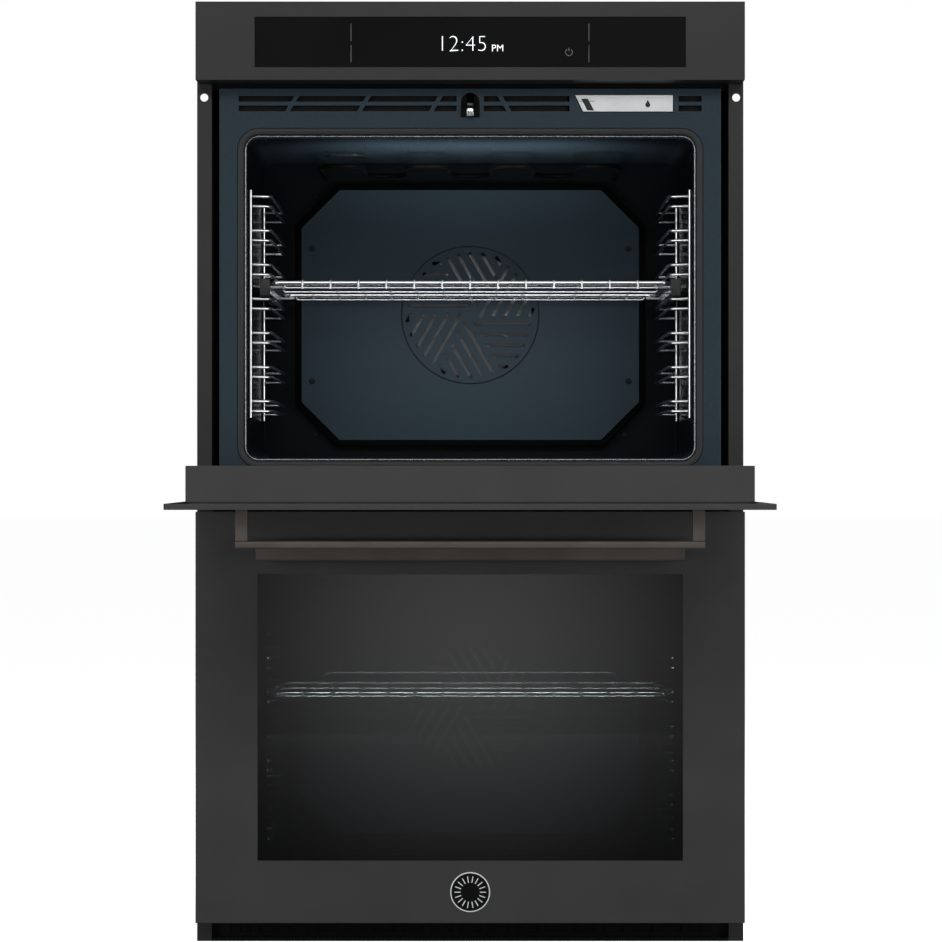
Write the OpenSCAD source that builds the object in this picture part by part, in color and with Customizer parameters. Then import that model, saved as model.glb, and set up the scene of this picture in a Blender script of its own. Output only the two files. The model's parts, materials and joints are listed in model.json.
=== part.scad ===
/* [Overall] */
// Width of the doors and the control panel
front_w = 756; // [640:1:920]
// Height of the whole oven
total_h = 1300; // [1080:1:1600]
// Depth of the casing behind the mounting flanges
case_d = 580; // [520:1:720]
// Height of the control panel
panel_h = 108; // [90:1:140]

/* [Casing] */
// Thickness of the casing sheet
sheet = 1.5; // [1:0.1:2]
// How far the casing side lies inside the door's edge
case_inset = 17; // [12:1:24]
// How far each flange reaches past the door's edge
flange_lap = 2; // [0:0.5:6]
// Height of the sill under the lower door
sill_h = 32; // [28:1:50]
// Gap between the two doors, room for the upper door's swing
doors_gap = 24; // [22:1:40]
// Gap between the control panel and the upper door
panel_gap = 4; // [3:0.5:8]
// Radius of a fixing hole in the flange
fixing_r = 5.5; // [3:0.5:6]
// Height of the lowest fixing holes
fixing_z = 93.5; // [80:0.5:120]

/* [Doors] */
// Thickness of a door
door_t = 54.5; // [50:0.5:70]
// Gap between a closed door and the flange plane
door_gap = 2.5; // [2:0.5:6]
// Depth of the folded edge of the door skin
skin_d = 7.7; // [6:0.1:10]
// Shadow gap between the skin and the inner box
shadow_gap = 2; // [1:0.5:3]
// How far the inner box lies inside the skin's edge
box_inset = 27; // [20:1:32]
// Margin beside the door window
window_side = 85.5; // [75:0.5:110]
// Margin above and below the door window
window_edge = 86; // [80:1:110]
// Thickness of a glass pane
glass_t = 4; // [3:0.5:5]
// Hinge axis behind the door's outer face
hinge_in = 30; // [28:1:34]
// Hinge axis above the door's bottom edge
hinge_up = 14; // [12:1:16]
// Radius of a hinge pin
pin_r = 4; // [3:0.5:5]
// Running clearance of a pin or a shaft
run = 0.05; // [0.02:0.01:0.1]
// How far each end of the handle lies inside the door's edge
handle_inset = 85.5; // [60:0.5:150]
// Reach of the handle from the skin
handle_out = 49; // [40:1:60]
// Height of the handle bar
bar_h = 28; // [20:1:36]
// Thickness of the handle bar
bar_t = 10; // [8:1:14]
// Handle bar below the door's top edge
bar_drop = 39; // [30:1:60]

/* [Ovens] */
// Gap between the casing side and the cavity wall
cavity_side = 51; // [46:1:70]
// Cavity floor above the door's bottom edge
cavity_up = 50; // [44:1:60]
// Cavity roof below the door's top edge
cavity_drop = 71; // [66:1:90]
// Room behind a cavity for its fan motor
back_room = 152; // [140:1:200]
// Corner radius of a cavity
cavity_r = 18; // [10:1:24]
// Thickness of the cavity sheet
liner_t = 1.2; // [0.8:0.1:1.5]
// Thickness of the insulation
wool_t = 24; // [15:1:26]
// Width of the door gasket
gasket_w = 12; // [10:0.5:16]
// Depth of the fan baffle
baffle_d = 30; // [26:1:36]
// Margin between the fan baffle and a cavity side
baffle_side = 57; // [44:1:75]
// Margin between the fan baffle and the cavity floor or roof
baffle_edge = 35; // [28:0.5:50]
// Radius of the slotted grille
grille_r = 103; // [90:1:120]

/* [Racks] */
// Distance from one level to the next
level_pitch = 47.7; // [44:0.1:48]
// Lowest guide wire above the cavity floor
level_up = 65.5; // [58:0.5:72]
// Distance between the two wires of a level
pair_gap = 13.8; // [12:0.1:16]
// How far a guide wire stands in from the upright
guide_in = 29; // [24:1:32]
// Room left over the highest level
level_room = 40; // [30:1:80]
// Level that carries the rack
rack_level = 4; // [2:1:4]
// Distance between the wires of a rack
wire_pitch = 39; // [30:1:50]

/* [Hidden] */
$fn = 48;

// Colours of the finishes
carbon = "#3b3b3b";
black = "#161616";
enamel = "#343c44";
zinc = "#a9adb0";
chrome = "#c9ccd0";
dark_glass = "#1c1c1e";
wool = "#d8d2bd";

// Planes along the depth
flange_y = -case_d / 2;
back_y = case_d / 2;
front_y = flange_y - door_gap - door_t;
case_w = front_w - 2 * case_inset;
inside_w = case_w - 2 * sheet;
flange_w = front_w + 2 * flange_lap;

// Heights
door_h = (total_h - panel_h - panel_gap - doors_gap - sill_h) / 2;
lower_z = sill_h;
upper_z = sill_h + door_h + doors_gap;
case_h = total_h - 15;
panel_z = total_h - panel_h;
deck_z = upper_z + door_h - 4;
divider_z = upper_z - 2;
oven_z = [lower_z, upper_z];

// Hinges
hinge_y = front_y + hinge_in;
hinge_x = front_w / 2 - box_inset - 21;
arm_t = 4;
arm_h = 16;
cheek_t = 2;
cheek_gap = 0.5;
arm_back_y = flange_y + 60;
case_l = 180;
rod_travel = 18;

// Cavities, heights counted from the door's bottom edge
cavity_w = case_w - 2 * cavity_side;
cavity_h = door_h - cavity_up - cavity_drop;
cavity_d = case_d - back_room;
cavity_top = cavity_up + cavity_h;
wall_y = flange_y + cavity_d;
fan_lower = 6.5;
fan_up = cavity_up + cavity_h / 2 - fan_lower;
baffle_w = cavity_w - 2 * baffle_side;
baffle_h = cavity_h - 2 * baffle_edge;
mouth_w = cavity_w + 4 + 2 * gasket_w;
mouth_h = cavity_h + 4 + 2 * gasket_w;
rebate = 10;
frame_w = case_w - 24;
frame_low = 24;
frame_high = door_h - 2;
baffle_y = wall_y - baffle_d;
fan_r = 92;
shaft_r = 4;
tube_r = 3.5;
bake_room = 14;

// Screws, and their places from the fan's centre: in the baffle plate, and in the wall beside its cut corners
screw_r = 2;
screw_hole_r = 2.4;
screw_head_r = 4.5;
screw_head_h = 2.4;
plate_screw_x = baffle_w / 2 - 15.5;
plate_screw_z = baffle_h / 2 - 88;
wall_screw_x = baffle_w / 2 - 20.5;
wall_screw_z = baffle_h / 2 - 8.5;
lamp_x = -180;
lamp_r = 26;

// Vents, latch and tank in the frame's top strip, heights below the door's top edge
vent_drop = 12.4;
vent_h = 7.6;
vent_step = 13.3;
vent_slant = 0.6;
vent_end = frame_w / 2 - 27;
vent_start = 19;
rib_w = 7;
rib_pitch = 100;
latch_r = 13;
latch_low = 42;
latch_high = 8;
latch_pivot_y = flange_y + 22;
latch_pivot_drop = 25;
hook_w = 8.8;
hook_slot_w = hook_w + 1.6;
strike_low = latch_low + 14;
tank_w = 138;
tank_side = 66;
tank_x = frame_w / 2 - tank_side - tank_w;
tank_h = 25;
tank_drop = 10;
tank_l = 236;
tank_play = 1;

// Display
glass_w = front_w - 174;
glass_h = 67;
glass_z = panel_z + 18.5;

// Racks
upright_r = 3;
guide_r = 2.2;
upright_x = cavity_w / 2 - upright_r;
guide_x = upright_x - guide_in;
levels = floor((cavity_h - level_up - pair_gap - level_room) / level_pitch) + 1;
rack_front_y = flange_y + 24;
rack_back_y = baffle_y - 16;
rear_upright_y = rack_back_y - 35;
rail_w = 14;
rail_h = 24;
frame_r = 3.5;
wire_r = 1.7;
rail_x = guide_x + 2;

// A rectangle with round corners, centred
module round_rect(w, h, r) {
    square([w - 2 * r, h], center = true);
    square([w, h - 2 * r], center = true);
    for (x = [-1, 1], y = [-1, 1]) {
        translate([x * (w / 2 - r), y * (h / 2 - r)]) circle(r);
    }
}

// Stands a flat outline up in the XZ plane and gives it a depth from y to y + d
module upright(y, d) {
    translate([0, y + d, 0]) rotate([90, 0, 0]) linear_extrude(d) children();
}

// A block given by its two corners
module block(a, b) {
    translate(a) cube(b - a);
}

// A round bar along an axis
module bar_x(x0, x1, y, z, r) {
    translate([x0, y, z]) rotate([0, 90, 0]) cylinder(h = x1 - x0, r = r);
}
module bar_y(x, y0, y1, z, r) {
    translate([x, y1, z]) rotate([90, 0, 0]) cylinder(h = y1 - y0, r = r);
}
module bar_z(x, y, z0, z1, r) {
    translate([x, y, z0]) cylinder(h = z1 - z0, r = r);
}

// Both sides, left and right
module both_sides() {
    children();
    mirror([1, 0, 0]) children();
}

// Casing

module side_panel() {
    fixing = [fixing_z, upper_z + door_h - 14.5];
    difference() {
        union() {
            block([inside_w / 2, flange_y, sheet], [case_w / 2, back_y - sheet, case_h]);
            block([inside_w / 2, flange_y, 0], [flange_w / 2, flange_y + sheet, case_h]);
        }
        for (z = fixing) bar_y(flange_w / 2 - 10, flange_y - 1, flange_y + 3, z, fixing_r);
    }
}

module side_panel_left() {
    color(carbon) mirror([1, 0, 0]) side_panel();
}

module side_panel_right() {
    color(carbon) side_panel();
}

conduit_x = -240;
conduit_y = back_y - 60;
conduit_r = 13;

module top_panel() {
    color(zinc) difference() {
        block([-inside_w / 2, flange_y, case_h - sheet], [inside_w / 2, back_y - sheet, case_h]);
        bar_z(conduit_x, conduit_y, case_h - 5, case_h + 5, conduit_r + 0.5);
        for (x = [-1 : 1], y = [0 : 5]) {
            translate([x * 90 + 100, 20 + y * 14, case_h]) cube([60, 5, 9], center = true);
        }
    }
}

module base_pan() {
    color(zinc) {
        block([-inside_w / 2, flange_y, 0], [inside_w / 2, back_y - sheet, sheet]);
        block([-inside_w / 2, flange_y, sheet], [inside_w / 2, flange_y + sheet, 5]);
    }
}

back_screws = 5;
back_margin = 20;
back_screw_x = case_w / 2 - 12;
back_screw_z = [for (i = [0 : back_screws - 1]) back_margin + i * (case_h - 2 * back_margin) / (back_screws - 1)];

module back_panel() {
    color(zinc) difference() {
        block([-case_w / 2, back_y - sheet, 0], [case_w / 2, back_y, case_h]);
        for (x = [-1, 1], z = back_screw_z) {
            bar_y(x * back_screw_x, back_y - 5, back_y + 5, z, screw_hole_r);
        }
        for (z = oven_z, x = [-2 : 2], i = [0 : 3]) {
            translate([x * 70, back_y, z + 60 + i * 16]) cube([50, 9, 6], center = true);
        }
    }
}

module mid_divider() {
    color(zinc) {
        block([-inside_w / 2, flange_y + 12, divider_z - sheet], [inside_w / 2, back_y - sheet, divider_z]);
        block([-inside_w / 2, flange_y + 12, divider_z - 20], [inside_w / 2, flange_y + 12 + sheet, divider_z - sheet]);
    }
}

module bottom_grille() {
    color(black) difference() {
        block([-inside_w / 2, flange_y + 14, sheet], [inside_w / 2, flange_y + 16, sill_h - 2]);
        for (x = [-8 : 8]) {
            translate([x * 40, flange_y + 15, sill_h / 2]) cube([30, 9, 8], center = true);
        }
    }
}

// Control panel and electronics

module control_fascia() {
    depth = flange_y - front_y;
    color(carbon) difference() {
        union() {
            difference() {
                block([-front_w / 2, front_y, panel_z], [front_w / 2, flange_y, total_h]);
                block([-front_w / 2 + 2, front_y + 2, panel_z + 2], [front_w / 2 - 2, flange_y + 1, total_h - 2]);
            }
            block([-front_w / 2 + 1, flange_y - 2, case_h - 1], [front_w / 2 - 1, flange_y, total_h - 1]);
        }
        translate([0, 0, glass_z + glass_h / 2]) upright(front_y - 1, depth / 2) {
            square([glass_w + 11, glass_h + 2], center = true);
        }
    }
}

module display_glass() {
    color(dark_glass) translate([0, 0, glass_z + glass_h / 2]) upright(front_y + 2, glass_t) {
        round_rect(glass_w + 18, glass_h + 10, 3);
    }
}

module control_board() {
    y = front_y + 2 + glass_t;
    color("#1f4d33") {
        block([-glass_w / 2, y, glass_z], [glass_w / 2, y + 1.6, glass_z + glass_h]);
        block([-70, y + 1.6, glass_z + 8], [70, y + 9, glass_z + 58]);
        for (x = [71 - glass_w / 2, 131 - glass_w / 2, glass_w / 2 - 141, glass_w / 2 - 81]) {
            block([x, y + 1.6, glass_z + 20], [x + 24, y + 7, glass_z + 40]);
        }
    }
}

blower_y = 120;
blower_r = 78;
wheel_r = 62;

module control_deck() {
    color(zinc) difference() {
        union() {
            block([-inside_w / 2, flange_y + 10, deck_z], [inside_w / 2, back_y - sheet, deck_z + sheet]);
            block([-inside_w / 2, flange_y + 10, deck_z + sheet], [inside_w / 2, flange_y + 10 + sheet, case_h - sheet]);
        }
        bar_z(0, blower_y, deck_z - 5, deck_z + 5, 40);
        translate([0, flange_y + 10, case_h - 35]) cube([300, 20, 30], center = true);
    }
}

module terminal_box() {
    z0 = deck_z + sheet;
    x0 = conduit_x - 50;
    color("#2b2b2b") {
        difference() {
            block([x0, back_y - 110, z0], [x0 + 100, back_y - 12, z0 + 50]);
            block([x0 + 2, back_y - 108, z0 + 2], [x0 + 98, back_y - 14, z0 + 51]);
        }
        block([x0 + 20, back_y - 80, z0 + 2], [x0 + 80, back_y - 50, z0 + 18]);
    }
}

conduit_bore = 9.5;
conduit_l = 27;

module conduit_fitting() {
    color(zinc) difference() {
        union() {
            bar_z(conduit_x, conduit_y, total_h - conduit_l, total_h, conduit_r);
            bar_z(conduit_x, conduit_y, case_h, case_h + 5, conduit_r + 5);
        }
        bar_z(conduit_x, conduit_y, total_h - conduit_l - 1, total_h + 1, conduit_bore);
    }
}

blower_z = deck_z + sheet;
blower_h = 56;

module blower_housing() {
    motor_z = blower_z + blower_h;
    color(zinc) difference() {
        union() {
            bar_z(0, blower_y, blower_z, motor_z, blower_r);
            block([-blower_r, blower_y - 150, blower_z], [-blower_r + 60, blower_y, motor_z]);
            bar_z(0, blower_y, motor_z, motor_z + 26, 30);
        }
        bar_z(0, blower_y, blower_z + 2, motor_z - 2, blower_r - 2);
        block([-blower_r + 2, blower_y - 151, blower_z + 2], [-blower_r + 58, blower_y, motor_z - 2]);
        bar_z(0, blower_y, blower_z - 1, blower_z + 3, 40);
        bar_z(0, blower_y, motor_z - 3, motor_z + 20, 3 + run);
    }
}

module blower_wheel() {
    z0 = blower_z + 8;
    color(black) {
        bar_z(0, blower_y, z0, z0 + 2, wheel_r);
        bar_z(0, blower_y, z0 + 1, z0 + 34, 12);
        bar_z(0, blower_y, z0 + 30, blower_z + blower_h + 18, 3);
        for (a = [0 : 20 : 340]) {
            translate([0, blower_y, z0 + 1]) rotate([0, 0, a]) translate([40, -0.8, 0]) cube([wheel_r - 42, 1.6, 36]);
        }
    }
}

// Oven bodies

module vent_rib(x) {
    run_h = 2 * vent_step;
    polygon([[x, 0], [x + rib_w, 0], [x + rib_w + vent_slant * run_h, -run_h], [x + vent_slant * run_h, -run_h]]);
}

// Half of the vent rows, heights down from the upper row's top
module vent_half() {
    difference() {
        for (row = [0, 1]) {
            translate([vent_start, -vent_h - row * vent_step]) square([vent_end - vent_start, vent_h]);
        }
        vent_rib(38);
        for (i = [1 : ceil(vent_end / rib_pitch)]) {
            vent_rib(38 + i * rib_pitch);
        }
    }
}

// Outline of the water tank's front, with its slanted inner end
module tank_outline(gap) {
    polygon([
        [tank_x + gap, -gap], [tank_x + tank_w - gap, -gap],
        [tank_x + tank_w - gap, -tank_h + gap], [tank_x + 11 + gap, -tank_h + gap]
    ]);
}

module latch_outline() {
    translate([-latch_r, -latch_low]) square([2 * latch_r, latch_low - latch_high - latch_r]);
    translate([0, -latch_high - latch_r]) circle(latch_r);
}

module front_frame(with_tank) {
    mid = (frame_low + frame_high) / 2;
    tall = frame_high - frame_low;
    difference() {
        translate([0, 0, mid]) upright(flange_y, rebate) square([frame_w, tall], center = true);
        translate([0, 0, mid]) upright(flange_y + sheet, rebate) {
            square([frame_w - 2 * sheet, tall - 2 * sheet], center = true);
        }
        translate([0, 0, cavity_up + cavity_h / 2]) upright(flange_y - 1, rebate) {
            round_rect(mouth_w, mouth_h, cavity_r + gasket_w);
        }
        translate([0, 0, door_h]) upright(flange_y - 1, rebate) latch_outline();
        translate([0, 0, door_h - vent_drop]) upright(flange_y - 1, rebate) {
            mirror([1, 0]) vent_half();
            difference() {
                vent_half();
                if (with_tank) translate([tank_x - 7, -50]) square([tank_w + 14, 60]);
            }
        }
        if (with_tank) translate([0, 0, door_h - tank_drop]) upright(flange_y - 1, rebate) tank_outline(0);
    }
}

module upper_front_frame() {
    color(enamel) translate([0, 0, upper_z]) front_frame(true);
}

module lower_front_frame() {
    color(enamel) translate([0, 0, lower_z]) front_frame(false);
}

module cavity() {
    mid = cavity_up + cavity_h / 2;
    flange_low = frame_low + 0.5;
    flange_high = cavity_top + 28;
    difference() {
        union() {
            translate([0, 0, mid]) upright(flange_y + 2, cavity_d - 2 + liner_t) {
                round_rect(cavity_w + 2 * liner_t, cavity_h + 2 * liner_t, cavity_r + liner_t);
            }
            translate([0, 0, (flange_low + flange_high) / 2]) upright(flange_y + rebate, liner_t) {
                square([frame_w - 2, flange_high - flange_low], center = true);
            }
        }
        translate([0, 0, mid]) upright(flange_y, cavity_d) round_rect(cavity_w, cavity_h, cavity_r);
        bar_y(0, wall_y - 5, wall_y + 5, fan_up, 8);
        bar_z(lamp_x, 0, cavity_top - 5, cavity_top + 5, lamp_r + 1);
        for (x = [-1, 1], k = [-1, 1]) {
            bar_y(x * wall_screw_x, wall_y - 5, wall_y + 5, fan_up + k * wall_screw_z, screw_hole_r);
        }
    }
}

module upper_cavity() {
    color(enamel) translate([0, 0, upper_z]) cavity();
}

module lower_cavity() {
    color(enamel) translate([0, 0, lower_z]) cavity();
}

module wool_blanket() {
    y0 = flange_y + rebate + liner_t;
    w = cavity_w + 2 * liner_t;
    low = cavity_up - liner_t - bake_room;
    high = cavity_top + liner_t;
    difference() {
        block([-w / 2 - wool_t, y0, low - 8], [w / 2 + wool_t, wall_y + liner_t + wool_t, high + wool_t]);
        block([-w / 2, y0 - 1, low], [w / 2, wall_y + liner_t, high]);
        bar_y(0, wall_y, wall_y + 99, fan_up, 20);
        bar_z(lamp_x, 0, high - 2, high + 99, lamp_r + 2);
    }
}

module insulation() {
    color(wool) for (z = oven_z) translate([0, 0, z]) wool_blanket();
}

module gasket() {
    translate([0, 0, cavity_up + cavity_h / 2]) upright(flange_y - 2, rebate + 2) difference() {
        round_rect(mouth_w - 0.4, mouth_h - 0.4, cavity_r + gasket_w - 0.2);
        round_rect(cavity_w + 2 * liner_t + 1, cavity_h + 2 * liner_t + 1, cavity_r + liner_t + 0.5);
    }
}

module upper_gasket() {
    color(black) translate([0, 0, upper_z]) gasket();
}

module lower_gasket() {
    color(black) translate([0, 0, lower_z]) gasket();
}

baffle_cut = 57;

module octagon(w, h, c) {
    polygon([
        [w / 2, h / 2 - c], [w / 2 - c, h / 2], [c - w / 2, h / 2], [-w / 2, h / 2 - c],
        [-w / 2, c - h / 2], [c - w / 2, -h / 2], [w / 2 - c, -h / 2], [w / 2, c - h / 2]
    ]);
}

// Six sectors, each with slots that run along the sector's upper edge
module pinwheel() {
    slots = 5;
    pitch = (grille_r - 12) / (slots + 0.7);
    for (a = [0 : 60 : 300], i = [0 : slots - 1]) {
        off = pitch * (i + 0.85);
        start = off / tan(60);
        stop = sqrt(grille_r * grille_r - off * off);
        rotate(a) translate([start - 3, off - 2.5]) square([stop - start - 8, 5]);
    }
}

module baffle() {
    translate([0, 0, fan_up]) difference() {
        upright(baffle_y, baffle_d) octagon(baffle_w, baffle_h, baffle_cut);
        upright(baffle_y + liner_t, baffle_d) {
            octagon(baffle_w - 2 * liner_t, baffle_h - 2 * liner_t, baffle_cut - 0.6);
        }
        upright(baffle_y - 1, 4) mirror([0, 1]) pinwheel();
        upright(baffle_y - 1, 1.5) difference() {
            circle(grille_r + 0.8, $fn = 96);
            circle(grille_r - 0.8, $fn = 96);
        }
        for (x = [-1, 1], k = [-1, 1]) {
            bar_y(x * plate_screw_x, baffle_y - 1, baffle_y + 4, k * plate_screw_z, screw_hole_r);
        }
        for (z = [-1, 1]) {
            translate([0, baffle_y + baffle_d / 2 + 5, z * 60]) cube([baffle_w + 9, 12, 90], center = true);
        }
    }
}

module upper_baffle() {
    color(enamel) translate([0, 0, upper_z]) baffle();
}

module lower_baffle() {
    color(enamel) translate([0, 0, lower_z]) baffle();
}

// A torus arc in the XZ plane, round a point
module ring_arc(x, y, z, big, small, from, turn) {
    translate([x, y, z]) rotate([90, 0, 0]) rotate([0, 0, from]) rotate_extrude(angle = turn) {
        translate([big, 0]) circle(small, $fn = 24);
    }
}

// A torus arc in the XY plane, round a point
module flat_arc(x, y, z, big, small, from, turn) {
    translate([x, y, z]) rotate([0, 0, from]) rotate_extrude(angle = turn) {
        translate([big, 0]) circle(small, $fn = 24);
    }
}

ring_r = fan_r + 16;

module ring_elements() {
    y = baffle_y + baffle_d / 2;
    color("#5a5a5c") for (z = oven_z) translate([0, 0, z + fan_up]) {
        ring_arc(0, y, 0, ring_r, tube_r, -70, 320);
        for (a = [-70, 250]) {
            bar_y(ring_r * cos(a), y - tube_r, wall_y, ring_r * sin(a), tube_r + 0.6);
        }
    }
}

// A heating tube that goes to and fro: runs along the depth, joined by half rings
module heater(z, runs, pitch, y0, y1, y_end) {
    x0 = -pitch * (runs - 1) / 2;
    for (i = [0 : runs - 1]) {
        last = i == 0 || i == runs - 1;
        bar_y(x0 + i * pitch, y0, last ? y_end : y1, z, tube_r);
    }
    for (i = [0 : runs - 2]) {
        front = i % 2 == 0;
        flat_arc(x0 + (i + 0.5) * pitch, front ? y0 : y1, z, pitch / 2, tube_r, front ? 180 : 0, 180);
    }
}

module grill_elements() {
    color("#4c4c50") for (z = oven_z) translate([0, 0, z]) {
        heater(cavity_top - 22, 8, 62, flange_y + 230, wall_y - 80, wall_y);
    }
}

module bake_elements() {
    color("#4c4c50") for (z = oven_z) translate([0, 0, z]) {
        heater(cavity_up - liner_t - 1 - tube_r, 6, 80, flange_y + 110, wall_y - 80, wall_y + liner_t);
    }
}

motor_y = wall_y + liner_t + wool_t;

module fan_motors() {
    color(zinc) for (z = oven_z) translate([0, 0, z + fan_up]) difference() {
        union() {
            bar_y(0, motor_y, motor_y + 3, 0, 58);
            bar_y(0, motor_y + 2, motor_y + 55, 0, 40);
        }
        bar_y(0, motor_y - 1, motor_y + 40, 0, shaft_r + run);
    }
}

module fan() {
    y0 = baffle_y + 6;
    translate([0, 0, fan_up]) {
        bar_y(0, y0, y0 + 16, 0, 14);
        bar_y(0, y0 + 14, y0 + 16, 0, fan_r);
        bar_y(0, y0 + 10, motor_y + 38, 0, shaft_r);
        for (a = [0 : 30 : 330]) {
            rotate([0, a, 0]) block([34, y0, -0.8], [fan_r - 2, y0 + 15, 0.8]);
        }
    }
}

module upper_fan() {
    color(zinc) translate([0, 0, upper_z]) fan();
}

module lower_fan() {
    color(zinc) translate([0, 0, lower_z]) fan();
}

module cavity_lamps() {
    color("#e6e2d6") for (z = oven_z) {
        bar_z(lamp_x, 0, z + cavity_top - 1, z + cavity_top + 28, lamp_r);
        bar_z(lamp_x, 0, z + cavity_top - 2, z + cavity_top, lamp_r + 5);
    }
}

// Door lock

lock_y = flange_y + rebate + liner_t;

module latch_housings() {
    color(zinc) for (z = oven_z) translate([0, 0, z + door_h]) {
        difference() {
            block([-18, lock_y, 2 - latch_low], [18, lock_y + 49, -4]);
            block([-hook_slot_w / 2, lock_y - 1, -latch_low], [hook_slot_w / 2, lock_y + 41, 0]);
        }
        block([-18, lock_y, cavity_top + 26 - door_h], [18, lock_y + 2, 3 - latch_low]);
        bar_x(-hook_slot_w / 2 - 1, hook_slot_w / 2 + 1, latch_pivot_y, -latch_pivot_drop, 2);
    }
}

module latch_hook() {
    translate([0, latch_pivot_y, -latch_pivot_drop]) difference() {
        union() {
            bar_x(-hook_w / 2, hook_w / 2, 0, 0, 6);
            block([-hook_w / 2, -38, -5], [hook_w / 2, 0, 3]);
            block([-hook_w / 2, -38, -16.5], [hook_w / 2, -33, 0]);
        }
        bar_x(-hook_w, hook_w, 0, 0, 2 + run);
    }
}

module upper_latch_hook() {
    color(chrome) translate([0, 0, upper_z + door_h]) latch_hook();
}

module lower_latch_hook() {
    color(chrome) translate([0, 0, lower_z + door_h]) latch_hook();
}

// Water supply

module water_tank() {
    top = upper_z + door_h - tank_drop;
    low = top - tank_h + tank_play + 1;
    x0 = tank_x + 13;
    x1 = tank_x + tank_w - 3;
    color("#e9ecec") {
        translate([0, 0, top]) upright(flange_y - 1, 3) tank_outline(tank_play);
        difference() {
            block([x0, flange_y + 2, low], [x1, flange_y + tank_l, low + 20]);
            block([x0 + 2, flange_y + 4, low + 2], [x1 - 2, flange_y + tank_l - 2, low + 21]);
        }
    }
}

module tank_guide() {
    low = upper_z + door_h - tank_drop - tank_h;
    x0 = tank_x + 10;
    x1 = tank_x + tank_w;
    color(black) difference() {
        block([x0, flange_y + 12, low], [x1, flange_y + tank_l + 10, deck_z]);
        block([x0 + 1.5, flange_y + 11, low + 1.5], [x1 - 1.5, flange_y + tank_l + 8, deck_z - 1.5]);
    }
}

module steam_generator() {
    x = case_w / 2 - 90;
    y = back_y - 67;
    color(zinc) {
        block([x - 35, y - 35, divider_z], [x + 35, y + 35, divider_z + 60]);
        bar_z(x, y, divider_z + 59, divider_z + 230, 42);
        bar_z(x, y, divider_z + 229, divider_z + 300, 7);
    }
}

// Racks

// A ladder of wires. Each guide wire is a solid of its own, and its two legs end a weld's gap short of the uprights
module side_rack(drop) {
    weld = 0.05;
    leg_end = upright_x - upright_r - weld;
    y0 = rack_front_y - 6;
    y1 = rack_back_y + 6;
    z0 = cavity_up + level_up - drop;
    z1 = z0 + (levels - 1) * level_pitch + pair_gap;
    for (y = [y0, rear_upright_y]) bar_z(upright_x, y, z0 - 10, z1 + 10, upright_r);
    for (i = [0 : levels - 1], j = [0, 1]) {
        z = z0 + i * level_pitch + j * pair_gap;
        bar_y(guide_x, y0, y1, z, guide_r);
        for (y = [y0, rear_upright_y]) bar_x(guide_x - 1, leg_end, y, z, guide_r + 0.2);
    }
}

lower_drop = 8;

module upper_side_racks() {
    color(chrome) translate([0, 0, upper_z]) both_sides() side_rack(0);
}

module lower_side_racks() {
    color(chrome) translate([0, 0, lower_z]) both_sides() side_rack(lower_drop);
}

// Top of the upper wire of the rack's level
rest_up = cavity_up + level_up + (rack_level - 1) * level_pitch + pair_gap + guide_r;
rail_z = upper_z + rest_up + 2;
rack_z = rail_z + rail_h - 6;

module rail_brackets() {
    color(black) both_sides() {
        difference() {
            block([rail_x + 6, rack_front_y, rail_z], [rail_x + rail_w, rack_back_y, rail_z + rail_h]);
            block([rail_x + 5, rack_front_y - 1, rail_z + 2], [rail_x + rail_w - 2, rack_back_y + 1, rail_z + rail_h - 2]);
        }
        for (y = [rack_front_y + 40, rack_back_y - 60]) {
            block([guide_x - 3, y, rail_z - 2], [rail_x + rail_w, y + 20, rail_z]);
        }
    }
}

module rail_slides() {
    y1 = rack_back_y - 2;
    color(zinc) both_sides() {
        difference() {
            block([rail_x, rack_front_y, rail_z + 3], [rail_x + rail_w - 2.5, y1, rail_z + rail_h - 3]);
            block([rail_x + 2, rack_front_y - 1, rail_z + 5], [rail_x + rail_w, y1 + 1, rail_z + rail_h - 5]);
        }
        for (y = [rack_front_y, y1 - 30]) {
            block([rail_x - 18, y, rack_z - frame_r - 3.8], [rail_x, y + 30, rack_z - frame_r - 0.8]);
        }
    }
}

// A wire rack between two depths, its side bars w apart, at height z
module wire_rack(w, y0, y1, z) {
    wires = floor((w / 2 - 14) / wire_pitch);
    for (x = [-1, 1]) bar_y(x * w / 2, y0, y1, z, frame_r);
    for (y = [y0, y1]) bar_x(-w / 2 - frame_r, w / 2 + frame_r, y, z, frame_r + 0.3);
    for (y = [y0 + (y1 - y0) / 3, y0 + (y1 - y0) * 2 / 3]) bar_x(-w / 2, w / 2, y, z, 2.5);
    for (i = [-wires : wires]) bar_y(i * wire_pitch, y0, y1, z + 2.4, wire_r);
}

module upper_rack() {
    w = 2 * (rail_x - 2.5 - frame_r);
    color(chrome) wire_rack(w, rack_front_y - 2, rack_back_y - 4, rack_z);
}

module lower_rack() {
    z = lower_z + rest_up - lower_drop + level_pitch - pair_gap + frame_r + 0.9;
    color(chrome) wire_rack(2 * guide_x, rack_front_y + 8, rack_back_y - 4, z);
}

// Doors, drawn closed round the hinge axis

outer_y = -hinge_in;
inner_y = door_t - hinge_in;
low_z = -hinge_up;
high_z = door_h - hinge_up;
window_w = front_w - 2 * window_side;
window_h = door_h - 2 * window_edge;
box_w = front_w - 2 * box_inset;
box_y = outer_y + skin_d + shadow_gap;
mid_z = (low_z + high_z) / 2;
view_w = window_w - 20;
view_h = window_h - 40;
pane_lap = 14;

module open_door() {
    translate([0, hinge_y, upper_z + hinge_up]) rotate([90, 0, 0]) children();
}

module shut_door() {
    translate([0, hinge_y, lower_z + hinge_up]) children();
}

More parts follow.
